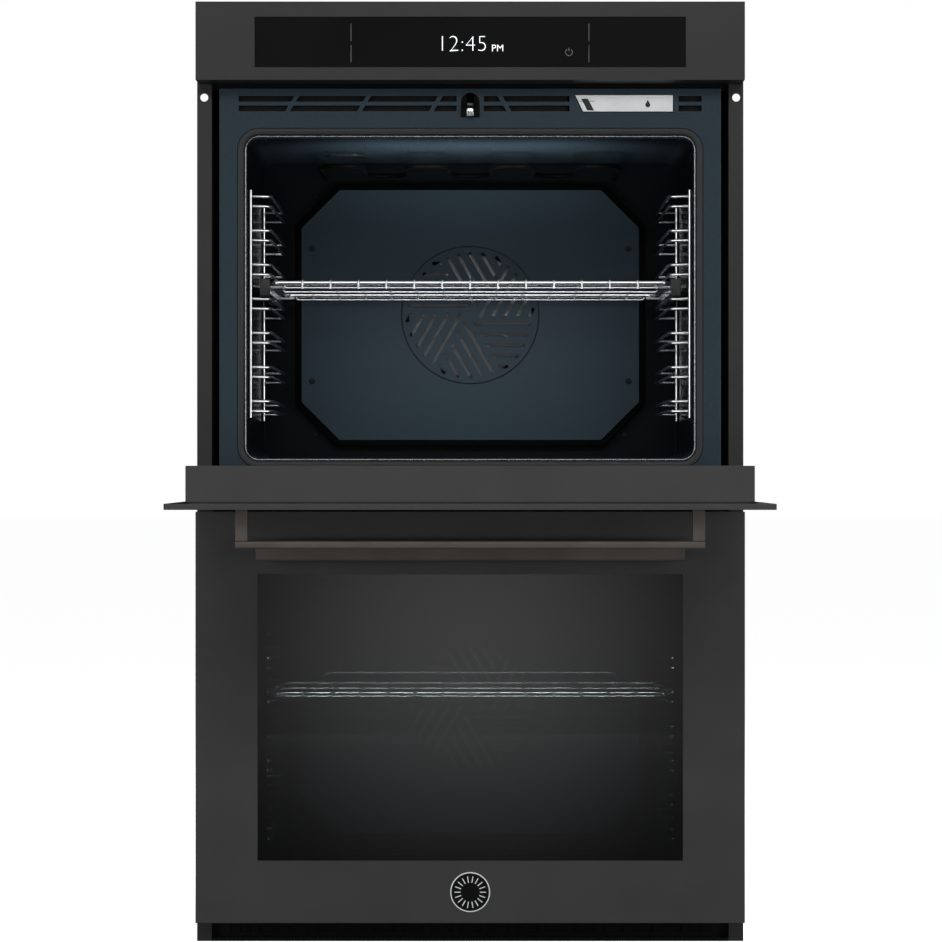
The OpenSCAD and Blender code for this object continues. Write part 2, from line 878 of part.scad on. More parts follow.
module door_skin() {
    face = 1.5;
    translate([0, 0, mid_z]) difference() {
        upright(outer_y, skin_d) square([front_w, door_h], center = true);
        upright(outer_y + face, skin_d) square([front_w - 5, door_h - 5], center = true);
        upright(outer_y - 1, skin_d) square([window_w, window_h], center = true);
    }
}

module door_glass() {
    translate([0, 0, mid_z]) upright(outer_y + 1.5, glass_t) {
        square([window_w + 2 * pane_lap, window_h + 2 * pane_lap], center = true);
    }
}

// A rectangular ring as deep as d, with its outer size and wall
module box_ring(y, d, w, h, wall) {
    translate([0, 0, mid_z]) upright(y, d) difference() {
        square([w, h], center = true);
        square([w - 2 * wall, h - 2 * wall], center = true);
    }
}

module door_box() {
    face_y = inner_y - sheet;
    notch = arm_t + 2 * cheek_gap + 2;
    latch_z = high_z - strike_low;
    difference() {
        union() {
            box_ring(box_y, door_t - skin_d - shadow_gap, box_w, door_h, sheet);
            box_ring(box_y, sheet, box_w, door_h, 8);
            box_ring(outer_y + 1.5, box_y - outer_y, box_w - 8, door_h - 8, sheet);
            box_ring(face_y, sheet, box_w, door_h, (box_w - view_w) / 2);
            translate([0, 0, mid_z]) upright(face_y, sheet) difference() {
                square([box_w, door_h], center = true);
                square([view_w, view_h], center = true);
            }
            box_ring(glass_t, face_y - glass_t, view_w + 2 * pane_lap + 4, view_h + 2 * pane_lap + 4, 1.5);
        }
        for (x = [-1, 1]) {
            translate([x * hinge_x - notch / 2, -arm_h / 2 - 1, low_z - 1]) {
                cube([notch, inner_y + arm_h, sheet + 1.01]);
            }
            translate([x * hinge_x - notch / 2, inner_y - 5, low_z - 1]) {
                cube([notch, 9, hinge_up + arm_h / 2 + 2]);
            }
        }
        block([-latch_r - 2, inner_y - 5, latch_z], [latch_r + 2, inner_y + 5, high_z - 4]);
    }
}

module inner_panes() {
    translate([0, 0, mid_z]) {
        upright(inner_y - sheet - glass_t, glass_t) {
            square([view_w + 2 * pane_lap, view_h + 2 * pane_lap], center = true);
        }
        upright(0, glass_t) {
            square([view_w + 2 * pane_lap + 4, view_h + 2 * pane_lap + 4], center = true);
        }
    }
}

handle_w = front_w - 2 * handle_inset;

module handle() {
    top = high_z - bar_drop;
    post_w = 15.5;
    y0 = outer_y - handle_out;
    translate([-handle_w / 2, 0, 0]) rotate([90, 0, 90]) linear_extrude(handle_w) {
        translate([y0 + bar_t / 2, top - bar_h / 2]) round_rect(bar_t, bar_h, 3);
    }
    for (x = [-1, 1]) {
        translate([x * (handle_w - post_w) / 2, 0, top - bar_h / 2]) upright(y0 + bar_t / 2, handle_out - bar_t / 2) {
            square([post_w, bar_h - 8], center = true);
        }
    }
}

module hinge_cases() {
    inner_x = arm_t / 2 + cheek_gap;
    web_y = box_y + 2;
    face_y = inner_y - sheet;
    for (side = [-1, 1]) translate([side * hinge_x, 0, 0]) difference() {
        union() {
            for (x = [-inner_x - cheek_t, inner_x]) {
                block([x, web_y, low_z + sheet + 1], [x + cheek_t, face_y, case_l]);
            }
            block([-inner_x - cheek_t, web_y, low_z + sheet + 1], [inner_x + cheek_t, web_y + cheek_t, case_l]);
        }
        bar_x(-9, 9, 0, 0, pin_r + run);
    }
}

module spring_rods(shift) {
    for (side = [-1, 1]) translate([side * hinge_x, 0, -shift]) {
        block([-1.5, -4, 32], [1.5, 4, 150]);
        bar_z(0, 0, 150, 158, 2);
    }
}

module upper_door_skin() {
    color(carbon) open_door() door_skin();
}

module lower_door_skin() {
    color(carbon) shut_door() door_skin();
}

module upper_door_box() {
    color("#3a3a3a") open_door() door_box();
}

module lower_door_box() {
    color("#3a3a3a") shut_door() door_box();
}

module upper_door_glass() {
    color(dark_glass) open_door() door_glass();
}

module lower_door_glass() {
    color(dark_glass) shut_door() door_glass();
}

module upper_inner_panes() {
    color("#8fa3a8") open_door() inner_panes();
}

module lower_inner_panes() {
    color("#8fa3a8") shut_door() inner_panes();
}

module upper_handle() {
    color("#4a4541") open_door() handle();
}

module lower_handle() {
    color("#4a4541") shut_door() handle();
}

module upper_hinge_cases() {
    color(zinc) open_door() hinge_cases();
}

module lower_hinge_cases() {
    color(zinc) shut_door() hinge_cases();
}

module upper_spring_rods() {
    color(zinc) open_door() spring_rods(rod_travel);
}

module lower_spring_rods() {
    color(zinc) shut_door() spring_rods(0);
}

// Fixed halves of the hinges, each with its pin and its seat
module hinge_arms() {
    seats = [sheet, divider_z];
    seat_y = flange_y + 16;
    color(zinc) for (i = [0, 1], side = [-1, 1]) translate([side * hinge_x, 0, oven_z[i] + hinge_up]) {
        bar_x(-arm_t / 2, arm_t / 2, hinge_y, 0, arm_h / 2);
        block([-arm_t / 2, hinge_y, -arm_h / 2], [arm_t / 2, arm_back_y, arm_h / 2]);
        bar_x(-arm_t / 2 - cheek_gap - cheek_t, arm_t / 2 + cheek_gap + cheek_t, hinge_y, 0, pin_r);
        block([-9, seat_y, seats[i] - oven_z[i] - hinge_up], [9, arm_back_y, -arm_h / 2 + 1]);
    }
}

badge_z = window_edge / 2 - hinge_up;

module badge() {
    color(chrome) shut_door() translate([0, 0, badge_z]) difference() {
        bar_y(0, outer_y - 2.5, outer_y, 0, 27.5);
        difference() {
            bar_y(0, outer_y - 3, outer_y - 1.2, 0, 23.5);
            bar_y(0, outer_y - 4, outer_y, 0, 12);
        }
    }
}

module panel_screws() {
    color(zinc) {
        for (z = oven_z, x = [-1, 1], k = [-1, 1]) {
            high = z + fan_up + k * plate_screw_z;
            bar_y(x * plate_screw_x, baffle_y - screw_head_h, baffle_y, high, screw_head_r);
            bar_y(x * plate_screw_x, baffle_y - 1, wall_y, high, screw_r);
            corner = z + fan_up + k * wall_screw_z;
            bar_y(x * wall_screw_x, wall_y - screw_head_h, wall_y, corner, screw_head_r);
            bar_y(x * wall_screw_x, wall_y - 1, wall_y + liner_t, corner, screw_r);
        }
        for (x = [-1, 1], z = back_screw_z) {
            bar_y(x * back_screw_x, back_y, back_y + screw_head_h, z, screw_head_r);
            bar_y(x * back_screw_x, back_y - 8, back_y + 1, z, screw_r);
        }
    }
}

side_panel_left();
side_panel_right();
top_panel();
base_pan();
back_panel();
mid_divider();
bottom_grille();
control_fascia();
display_glass();
control_board();
control_deck();
terminal_box();
conduit_fitting();
upper_front_frame();
lower_front_frame();
upper_cavity();
lower_cavity();
insulation();
upper_gasket();
lower_gasket();
upper_baffle();
lower_baffle();
ring_elements();
grill_elements();
bake_elements();
fan_motors();
upper_side_racks();
lower_side_racks();
rail_brackets();
latch_housings();
blower_housing();
steam_generator();
tank_guide();
cavity_lamps();
hinge_arms();
panel_screws();
upper_door_skin();
upper_door_box();
upper_door_glass();
upper_inner_panes();
upper_handle();
upper_hinge_cases();
upper_spring_rods();
lower_door_skin();
lower_door_box();
lower_door_glass();
lower_inner_panes();
lower_handle();
lower_hinge_cases();
lower_spring_rods();
badge();
upper_fan();
lower_fan();
blower_wheel();
upper_rack();
rail_slides();
lower_rack();
upper_latch_hook();
lower_latch_hook();
water_tank();
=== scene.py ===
import json
import math

import bmesh
import bpy
from mathutils import Matrix, Vector

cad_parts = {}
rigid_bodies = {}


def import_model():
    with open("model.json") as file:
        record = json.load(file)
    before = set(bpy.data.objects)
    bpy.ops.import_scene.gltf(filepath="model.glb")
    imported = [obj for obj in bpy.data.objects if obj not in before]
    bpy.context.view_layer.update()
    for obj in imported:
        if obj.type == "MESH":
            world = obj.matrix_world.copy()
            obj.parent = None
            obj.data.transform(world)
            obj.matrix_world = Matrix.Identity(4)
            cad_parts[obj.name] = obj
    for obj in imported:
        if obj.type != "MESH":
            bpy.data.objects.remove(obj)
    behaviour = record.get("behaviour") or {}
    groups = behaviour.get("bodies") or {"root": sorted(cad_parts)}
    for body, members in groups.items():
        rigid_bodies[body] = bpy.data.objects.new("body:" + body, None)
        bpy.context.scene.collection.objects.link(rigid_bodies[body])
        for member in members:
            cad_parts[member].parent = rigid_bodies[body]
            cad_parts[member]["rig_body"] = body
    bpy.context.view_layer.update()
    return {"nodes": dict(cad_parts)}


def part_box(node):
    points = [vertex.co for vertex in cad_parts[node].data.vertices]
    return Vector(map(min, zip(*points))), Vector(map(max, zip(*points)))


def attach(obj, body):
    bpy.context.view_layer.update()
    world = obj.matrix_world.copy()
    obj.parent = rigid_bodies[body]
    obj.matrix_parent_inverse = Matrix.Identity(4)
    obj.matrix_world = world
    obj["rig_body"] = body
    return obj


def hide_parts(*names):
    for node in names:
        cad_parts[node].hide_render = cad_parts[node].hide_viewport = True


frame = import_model()
scene = bpy.context.scene
nodes = frame["nodes"]

# The view: a long lens, level, a little above the gap between the two ovens.
camera_data = bpy.data.cameras.new("front_view")
camera_data.lens = 139.3
camera_data.sensor_width = 36
camera_data.clip_end = 60
camera = bpy.data.objects.new("front_view", camera_data)
camera.location = (0.0011, -5.361, 0.654)
camera.rotation_euler = (math.radians(90), 0, 0)
scene.collection.objects.link(camera)
scene.camera = camera

# Soft studio light: a white backdrop, and large softboxes in front, at both sides, above
# and behind. Two more serve only one kind of ray each: the fill is never mirrored, and
# the sheen is only mirrored.
scene.view_settings.view_transform = "Standard"


def srgb(code):
    """An sRGB hex colour as linear red, green, blue and alpha."""
    values = [int(code[i : i + 2], 16) / 255 for i in (1, 3, 5)]
    return [v / 12.92 if v <= 0.04045 else ((v + 0.055) / 1.055) ** 2.4 for v in values] + [1.0]


def add(tree, kind, inputs=None, **settings):
    """Adds a node with its settings; an input is a value or the socket that feeds it."""
    made = tree.nodes.new(kind)
    for key, value in settings.items():
        setattr(made, key, value)
    for key, value in (inputs or {}).items():
        if isinstance(value, bpy.types.NodeSocket):
            tree.links.new(value, made.inputs[key])
        else:
            made.inputs[key].default_value = value
    return made


room = bpy.data.worlds.new("studio")
room.use_nodes = True
room.node_tree.nodes.clear()
room_light = add(room.node_tree, "ShaderNodeBackground", {"Color": srgb("#f4f6f8"), "Strength": 0.12})
backdrop = add(room.node_tree, "ShaderNodeBackground", {"Color": srgb("#ffffff"), "Strength": 1.0})
seen = add(room.node_tree, "ShaderNodeLightPath")
sky = add(room.node_tree, "ShaderNodeMixShader", {
    0: seen.outputs["Is Camera Ray"], 1: room_light.outputs[0], 2: backdrop.outputs[0]})
add(room.node_tree, "ShaderNodeOutputWorld", {"Surface": sky.outputs[0]})
scene.world = room


def softbox(name, place, target, width, height, watts):
    """An area light, hidden from the camera, aimed from a place at a target."""
    light = bpy.data.lights.new(name, "AREA")
    light.shape = "RECTANGLE"
    light.size, light.size_y, light.energy = width, height, watts
    made = bpy.data.objects.new(name, light)
    made.location = place
    made.rotation_euler = (Vector(target) - Vector(place)).to_track_quat("-Z", "Y").to_euler()
    made.visible_camera = False
    scene.collection.objects.link(made)
    return made


softbox("key_softbox", (0, -4.9, 2.8), (0, -0.3, 0.6), 3.0, 1.0, 50)
softbox("left_softbox", (-3.0, -3.6, 0.9), (0, -0.3, 0.3), 1.4, 2.0, 36)
softbox("right_softbox", (3.0, -3.6, 0.9), (0, -0.3, 0.3), 1.4, 2.0, 40)
fill = softbox("front_fill", (0, -5.2, 0.2), (0, -0.3, 0.4), 1.3, 1.1, 36)
fill.visible_glossy = fill.visible_transmission = False
# The sheen fades towards its edges, so that the lower window mirrors it without a border.
sheen = softbox("window_sheen", (0, -5.2, 0.20), (0, -0.3, 0.20), 1.8, 1.5, 8.5)
sheen.visible_diffuse = sheen.visible_transmission = False
sheen.data.use_nodes = True
tree = sheen.data.node_tree
place = add(tree, "ShaderNodeNewGeometry").outputs["Parametric"]
off_centre = add(tree, "ShaderNodeVectorMath", {0: place, 1: (0.5, 0.5, 0)}, operation="DISTANCE")
fade = add(tree, "ShaderNodeMapRange", {
    "Value": off_centre.outputs["Value"], "From Max": 0.5, "To Min": 1.0, "To Max": 0.0},
    interpolation_type="SMOOTHSTEP")
tree.links.new(fade.outputs[0], tree.nodes["Emission"].inputs["Strength"])
softbox("top_softbox", (0, -1.0, 3.4), (0, -0.2, 0.9), 2.6, 1.6, 14)
softbox("rear_softbox", (1.4, 3.0, 2.6), (0, 0.2, 0.7), 2.4, 2.0, 90)

# The floor, with a low plinth that the casing stands on, because the lower handle
# swings below the casing's foot.
FLOOR_SIZE = 50
STEP = 0.06
PLINTH_LOW, PLINTH_HIGH = (-0.45, -0.285, -STEP), (0.45, 0.36, -0.0005)


def new_object(name, mesh):
    made = bpy.data.objects.new(name, mesh)
    scene.collection.objects.link(made)
    return made


def mesh_of(name, build):
    """A new mesh, filled by a function that gets an empty bmesh."""
    shape = bmesh.new()
    build(shape)
    mesh = bpy.data.meshes.new(name)
    shape.to_mesh(mesh)
    shape.free()
    return mesh


def add_block(shape, low, high):
    """A closed block between two corners."""
    low, high = Vector(low), Vector(high)
    place = Matrix.Translation((low + high) / 2) @ Matrix.Diagonal((*(high - low), 1))
    return bmesh.ops.create_cube(shape, size=1, matrix=place)["verts"]


def build_floor(shape):
    level = Matrix.Translation((0, 0, -STEP))
    bmesh.ops.create_grid(shape, x_segments=1, y_segments=1, size=FLOOR_SIZE, matrix=level)
    add_block(shape, PLINTH_LOW, PLINTH_HIGH)


floor_paint = bpy.data.materials.new("pale_floor")
floor_paint.use_nodes = True
floor_tree = floor_paint.node_tree
floor_shader = floor_tree.nodes["Principled BSDF"]
floor_shader.inputs["Base Color"].default_value = srgb("#f6f6f5")
floor_shader.inputs["Roughness"].default_value = 0.9
lit_floor = add(floor_tree, "ShaderNodeEmission", {"Color": srgb("#ffffff"), "Strength": 0.88})
both = add(floor_tree, "ShaderNodeAddShader", {0: floor_shader.outputs[0], 1: lit_floor.outputs[0]})
grey_floor = add(floor_tree, "ShaderNodeBsdfDiffuse", {"Color": srgb("#5c5c5b")})
looked_at = add(floor_tree, "ShaderNodeLightPath")
shown = add(floor_tree, "ShaderNodeMixShader", {
    0: looked_at.outputs["Is Camera Ray"], 1: grey_floor.outputs[0], 2: both.outputs[0]})
floor_tree.links.new(shown.outputs[0], floor_tree.nodes["Material Output"].inputs["Surface"])
floor = new_object("floor", mesh_of("floor", build_floor))
floor.data.materials.append(floor_paint)
floor.visible_glossy = False


# Casing: folded and spot-welded galvanised steel sheets, with the two side panels
# powder coated because their flanges show beside the doors.
def finish(name, colour, metallic, roughness, **constants):
    """A new material with its shader's own values set; returns it, its tree and its shader."""
    made = bpy.data.materials.new(name)
    made.use_nodes = True
    shader = made.node_tree.nodes["Principled BSDF"]
    shader.inputs["Base Color"].default_value = srgb(colour)
    shader.inputs["Metallic"].default_value = metallic
    shader.inputs["Roughness"].default_value = roughness
    for key, value in constants.items():
        shader.inputs[key.replace("_", " ").title().replace("Ior", "IOR")].default_value = value
    return made, made.node_tree, shader


def surface_noise(tree, grain, detail=3.0, stretch=(1, 1, 1)):
    """Noise in the piece's own space with a grain of the given size in metres."""
    place = add(tree, "ShaderNodeTexCoord").outputs["Object"]
    spread = add(tree, "ShaderNodeMapping", {"Vector": place, "Scale": stretch}).outputs[0]
    noise = add(tree, "ShaderNodeTexNoise", {"Vector": spread, "Scale": 1 / grain, "Detail": detail})
    return noise.outputs["Fac"]


def shade_between(tree, shader, factor, dark, light, low=0.35, high=0.65):
    """Base colour that goes from dark to light with a pattern."""
    ramp = add(tree, "ShaderNodeValToRGB", {"Fac": factor})
    for stop, position, colour in zip(ramp.color_ramp.elements, (low, high), (dark, light)):
        stop.position, stop.color = position, srgb(colour)
    tree.links.new(ramp.outputs[0], shader.inputs["Base Color"])


def gloss_between(tree, shader, factor, smooth, rough):
    """Roughness that goes from smooth to rough with a pattern."""
    span = add(tree, "ShaderNodeMapRange", {
        "Value": factor, "From Min": 0.3, "From Max": 0.7, "To Min": smooth, "To Max": rough})
    tree.links.new(span.outputs[0], shader.inputs["Roughness"])


def raise_by(tree, shader, factor, height, strength=1.0):
    """Bump of the given height in metres from a pattern."""
    bump = add(tree, "ShaderNodeBump", {"Height": factor, "Distance": height, "Strength": strength})
    tree.links.new(bump.outputs[0], shader.inputs["Normal"])


# Polyester powder coat on steel: a fine orange peel about 1.5 mm across, drawn a little
# coarser than life so that it shows, and a soft satin gloss.
def powder_coating(name, dark, light):
    material, tree, shader = finish(name, dark, 0.0, 0.42, specular_ior_level=0.36)
    peel = surface_noise(tree, 0.0016)
    shade_between(tree, shader, surface_noise(tree, 0.09), dark, light)
    gloss_between(tree, shader, peel, 0.4, 0.48)
    raise_by(tree, shader, peel, 0.00006, 0.3)
    return material


door_coat = powder_coating("satin_door_coat", "#3b3b3b", "#404040")
casing_coat = powder_coating("satin_casing_coat", "#292929", "#2d2d2d")

# Hot-dip galvanised steel: zinc crystals 10 to 20 mm across with slightly different greys.
galvanised, tree, shader = finish("galvanised_steel_sheet", "#a4a8ab", 1.0, 0.4)
place = add(tree, "ShaderNodeTexCoord").outputs["Object"]
ZINC_CRYSTAL = 1 / 70
spangle = add(tree, "ShaderNodeTexVoronoi", {"Vector": place, "Scale": 1 / ZINC_CRYSTAL})
grey = add(tree, "ShaderNodeSeparateColor", {"Color": spangle.outputs["Color"]}).outputs[0]
shade_between(tree, shader, grey, "#9b9fa2", "#adb1b4", 0.0, 1.0)
gloss_between(tree, shader, grey, 0.41, 0.47)
raise_by(tree, shader, surface_noise(tree, 0.003), 0.00004, 0.3)


def coat(material, *names):
    """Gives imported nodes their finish."""
    for name in names:
        for slot in nodes[name].material_slots:
            slot.material = material


def final_mesh(made):
    """The plain mesh that an object's curve or modifiers come to."""
    return bpy.data.meshes.new_from_object(made.evaluated_get(bpy.context.evaluated_depsgraph_get()))


def softened(name, source, material, edge=0.0005, angle=28, steps=2):
    """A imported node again, merged, with its edges rounded as folded or moulded edges are."""
    mesh = nodes[source].data.copy()
    mesh.name = name
    shape = bmesh.new()
    shape.from_mesh(mesh)
    bmesh.ops.remove_doubles(shape, verts=shape.verts, dist=0.00001)
    bmesh.ops.dissolve_limit(shape, angle_limit=math.radians(1), verts=shape.verts, edges=shape.edges)
    shape.to_mesh(mesh)
    shape.free()
    if "custom_normal" in mesh.attributes:
        mesh.attributes.remove(mesh.attributes["custom_normal"])
    mesh.polygons.foreach_set("use_smooth", [True] * len(mesh.polygons))
    mesh.materials.clear()
    mesh.materials.append(material)
    made = new_object(name, mesh)
    bevel = made.modifiers.new("edges", "BEVEL")
    bevel.width, bevel.segments, bevel.limit_method = edge, steps, "ANGLE"
    bevel.angle_limit = math.radians(angle)
    bevel.use_clamp_overlap = False
    flats = made.modifiers.new("flats", "WEIGHTED_NORMAL")
    flats.keep_sharp = False
    flats.weight = 80
    made.data = final_mesh(made)
    made.modifiers.clear()
    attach(made, nodes[source]["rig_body"])
    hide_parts(source)
    return made


def smooth(mesh, angle):
    """Smooth shading, broken at edges sharper than the angle."""
    mesh.polygons.foreach_set("use_smooth", [True] * len(mesh.polygons))
    mesh.set_sharp_from_angle(angle=math.radians(angle))


for side in ("left", "right"):
    softened(f"side_panel_{side}_coated", f"side_panel_{side}", casing_coat)
coat(galvanised, "top_panel", "back_panel", "mid_divider")

# Bottom grille: a black slotted strip that lets air in. The base pan, the deck and the
# hinge arms get the same black as painted shade, because their edges show in the gaps.
black_coat, tree, shader = finish("matt_black_paint", "#070708", 0.0, 0.5, specular_ior_level=0.15)
gloss_between(tree, shader, surface_noise(tree, 0.002), 0.42, 0.6)
softened("bottom_grille_painted", "bottom_grille", black_coat)
coat(black_coat, "base_pan", "control_deck", "hinge_arms")

# Control panel: a folded steel fascia in the casing's dark coat, with one long black glass
# behind its opening. The clock and the touch marks are printed or lit under the glass.
softened("control_fascia_coated", "control_fascia", casing_coat, 0.0007)

# Tinted float glass, black printed behind: a deep gloss with almost no texture.
panel_glass, tree, shader = finish("black_printed_glass", "#101011", 0.0, 0.07, specular_ior_level=0.4)
shade_between(tree, shader, surface_noise(tree, 0.25), "#0e0e0f", "#151516")
softened("display_pane", "display_glass", panel_glass, 0.0004)

lit_white, tree, shader = finish("lit_display_mark", "#e8ecee", 0.0, 0.5, emission_strength=0.95)
shader.inputs["Emission Color"].default_value = srgb("#f2f5f7")
shade_between(tree, shader, surface_noise(tree, 0.004), "#dfe4e6", "#f2f5f7")
grey_mark, tree, shader = finish("printed_grey_mark", "#6d6f70", 0.0, 0.5)
shade_between(tree, shader, surface_noise(tree, 0.004), "#66686a", "#76787a")

PANE_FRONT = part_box("display_glass")[0].y
MARK_OUT = 0.0002
CLOCK_BASE = 1.2315
DIVIDERS_X = (-0.1640, 0.1634)
DIVIDER_SPANS = ((1.2165, 1.2400), (1.2455, 1.2695))
POWER_X, POWER_Z, POWER_R = 0.1359, 1.2303, 0.0047
POWER_STEPS = 24


def flat_text(name, words, size, left, base, front, thickness, material, weight=0.0):
    """Words as a thin mesh in a plane that faces the front, from a left edge and a base line."""
    curve = bpy.data.curves.new(name, "FONT")
    curve.body, curve.size, curve.extrude, curve.offset = words, size, thickness / 2, weight
    made = new_object(name + "_curve", curve)
    mesh = final_mesh(made)
    bpy.data.objects.remove(made)
    mesh.transform(Matrix.Translation((left, front, base)) @ Matrix.Rotation(math.radians(90), 4, "X"))
    mesh.materials.clear()
    mesh.materials.append(material)
    return new_object(name, mesh)


def mark(made, body):
    """A small printed or lit mark that goes with a body."""
    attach(made, body)
    return made


for name, words, size, left, weight in (
        ("clock_digits", "12:45", 0.0318, -0.0462, -0.0009),
        ("clock_half_day", "PM", 0.0135, 0.0290, -0.0001)):
    lit = flat_text(name, words, size, left, CLOCK_BASE, PANE_FRONT - MARK_OUT, MARK_OUT, lit_white, weight)
    mark(lit, "chassis")


def build_panel_marks(shape):
    """Divider lines, and a power sign: an open ring with a stroke at its gap."""
    front = PANE_FRONT - MARK_OUT
    for x in DIVIDERS_X:
        for low, high in DIVIDER_SPANS:
            add_block(shape, (x - 0.0004, front, low), (x + 0.0004, PANE_FRONT, high))
    stroke_top = CLOCK_BASE + 0.0050
    add_block(shape, (POWER_X - 0.0005, front, CLOCK_BASE), (POWER_X + 0.0005, PANE_FRONT, stroke_top))
    arc = []
    for i in range(POWER_STEPS + 1):
        angle = math.radians(125 + i * 290 / POWER_STEPS)
        for radius in (POWER_R - 0.00045, POWER_R + 0.00045):
            x, z = POWER_X + radius * math.cos(angle), POWER_Z + radius * math.sin(angle)
            arc += [shape.verts.new((x, y, z)) for y in (front, PANE_FRONT)]
    for i in range(POWER_STEPS):
        a, b = arc[4 * i : 4 * i + 4], arc[4 * i + 4 : 4 * i + 8]
        for j, k in ((0, 1), (1, 3), (3, 2), (2, 0)):
            shape.faces.new((a[j], a[k], b[k], b[j]))
    for end in (arc[:4], arc[-4:]):
        shape.faces.new((end[0], end[1], end[3], end[2]))
    bmesh.ops.recalc_face_normals(shape, faces=shape.faces)


panel_marks = new_object("touch_panel_marks", mesh_of("touch_panel_marks", build_panel_marks))
panel_marks.data.materials.append(grey_mark)
mark(panel_marks, "chassis")

# Electronics and wiring space: a green circuit board behind the display, a black
# terminal box, and the threaded steel fitting where the house wiring comes in.
board_green, tree, shader = finish("circuit_board_lacquer", "#1d4a31", 0.0, 0.35)
shade_between(tree, shader, surface_noise(tree, 0.006), "#173d28", "#24583b")
coat(board_green, "control_board")
box_plastic, tree, shader = finish("black_moulded_plastic", "#1b1b1c", 0.0, 0.5)
moulded = surface_noise(tree, 0.0012)
gloss_between(tree, shader, moulded, 0.42, 0.58)
raise_by(tree, shader, moulded, 0.00008, 0.4)
softened("terminal_box_moulded", "terminal_box", box_plastic)
softened("conduit_fitting_turned", "conduit_fitting", galvanised)

# Oven cavities and front frames: pressed steel with a dark blue-grey vitreous enamel,
# fired on, so it is glassy, with fine pale flecks and a slightly uneven gloss. The
# frames' copy of the enamel is a little lighter as painted light, and glossier; the
# cavities and fan covers have the darker, duller copy.
def fire_enamel(name, dark, light, shine):
    material, tree, shader = finish(name, light, 0.0, 0.24, specular_ior_level=shine)
    shade_between(tree, shader, surface_noise(tree, 0.0011, 1.0), dark, light, 0.3, 0.78)
    gloss_between(tree, shader, surface_noise(tree, 0.004), 0.22, 0.27)
    return material, tree, shader


enamel, tree, shader = fire_enamel("blue_grey_enamel", "#2f3b44", "#36444e", 0.2)
liner_enamel, tree, shader = fire_enamel("cavity_liner_enamel", "#2b363e", "#313e47", 0.12)
# Painted shade: the liner goes nearly black on the back wall and on the side walls,
# where they lie in shade behind the racks and round the fan cover.
SHADED_FROM_Y, SHADED_FROM_X = (0.12, 0.136), (0.296, 0.309)
unshaded = shader.inputs["Base Color"].links[0].from_socket
where = add(tree, "ShaderNodeSeparateXYZ", {"Vector": add(tree, "ShaderNodeTexCoord").outputs["Object"]})
aside = add(tree, "ShaderNodeMath", {0: where.outputs["X"]}, operation="ABSOLUTE")
shade_masks = []
for distance, (start, full) in ((where.outputs["Y"], SHADED_FROM_Y), (aside.outputs[0], SHADED_FROM_X)):
    grows = add(tree, "ShaderNodeMapRange", {"Value": distance, "From Min": start, "From Max": full})
    shade_masks.append(grows.outputs[0])
painted_shade = add(tree, "ShaderNodeMath", {0: shade_masks[0], 1: shade_masks[1]}, operation="MAXIMUM")
shade_colour = srgb("#0c1013")
walls = add(tree, "ShaderNodeMix", {"Factor": painted_shade.outputs[0], 6: unshaded, 7: shade_colour}, data_type="RGBA")
tree.links.new(walls.outputs[2], shader.inputs["Base Color"])
for piece, suffix, material, edge in (
        ("front_frame", "enamelled", enamel, 0.0006),
        ("cavity", "liner", liner_enamel, 0.0005),
        ("baffle", "pressed", liner_enamel, 0.0002)):
    for label in ("upper", "lower"):
        softened(f"{label}_{piece}_{suffix}", f"{label}_{piece}", material, edge)

# Black screens of painted shade behind the vents and the bottom grille, so that only dark shows.
FRAME_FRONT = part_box("upper_front_frame")[0].y
VENT_SPANS_X = ((-0.338, -0.0185), (0.0185, 0.136), (0.288, 0.338))
VENT_HEIGHT = 0.038


def build_screens(shape):
    y = FRAME_FRONT + 0.0075
    for label in ("upper", "lower"):
        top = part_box(f"{label}_front_frame")[1].z - 0.003
        for left, right in VENT_SPANS_X:
            add_block(shape, (left, y, top - VENT_HEIGHT), (right, y + 0.0008, top))
    low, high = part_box("bottom_grille")
    add_block(shape, (low.x + 0.002, high.y + 0.002, low.z), (high.x - 0.002, high.y + 0.003, high.z))


dead_black_shade, tree, shader = finish("painted_dead_black", "#050505", 0.0, 0.95)
gloss_between(tree, shader, surface_noise(tree, 0.002), 0.9, 1.0)
screens = new_object("vent_shade_screens", mesh_of("vent_shade_screens", build_screens))
screens.data.materials.append(dead_black_shade)
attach(screens, "chassis")

# Mineral wool round each cavity, in pale yellow fibres.
wool, tree, shader = finish("mineral_wool_blanket", "#cfc7a6", 0.0, 0.95)
fibres = surface_noise(tree, 0.004, 6.0, (1, 3, 1))
shade_between(tree, shader, fibres, "#b7ae8b", "#ded8bd")
raise_by(tree, shader, fibres, 0.0015, 0.6)
coat(wool, "insulation")

# Door gaskets: a braided and rubber-covered seal round each mouth, with a thin bright
# steel retaining bead on its inner side.
seal_rubber, tree, shader = finish("silicone_rubber_seal", "#26292a", 0.0, 0.55)
gloss_between(tree, shader, surface_noise(tree, 0.002), 0.48, 0.62)
bright_steel, tree, shader = finish("polished_steel_bead", "#a0a4a7", 1.0, 0.3)
gloss_between(tree, shader, surface_noise(tree, 0.01), 0.2, 0.32)


def round_outline(width, height, radius, steps=10):
    """A function of an outward offset that gives a round-cornered outline's points."""
    def points(offset):
        found = []
        for sx, sz, start in ((1, 1, 0), (-1, 1, 90), (-1, -1, 180), (1, -1, 270)):
            for i in range(steps + 1):
                angle = math.radians(start + 90 * i / steps)
                reach = max(radius + offset, 0.0001)
                x = sx * (width / 2 - radius) + reach * math.cos(angle)
                z = sz * (height / 2 - radius) + reach * math.sin(angle)
                found.append((x, z))
        return found
    return points


def build_loop(shape, outline, section, centre):
    """Sweeps a closed section of (outward, depth) points round an outline about a centre."""
    rings = []
    for outward, depth in section:
        rings.append([shape.verts.new((centre.x + x, depth, centre.z + z)) for x, z in outline(outward)])
    for a in range(len(rings)):
        first, second = rings[a], rings[(a + 1) % len(rings)]
        for i in range(len(first)):
            k = (i + 1) % len(first)
            shape.faces.new((first[i], first[k], second[k], second[i]))
    bmesh.ops.recalc_face_normals(shape, faces=shape.faces)


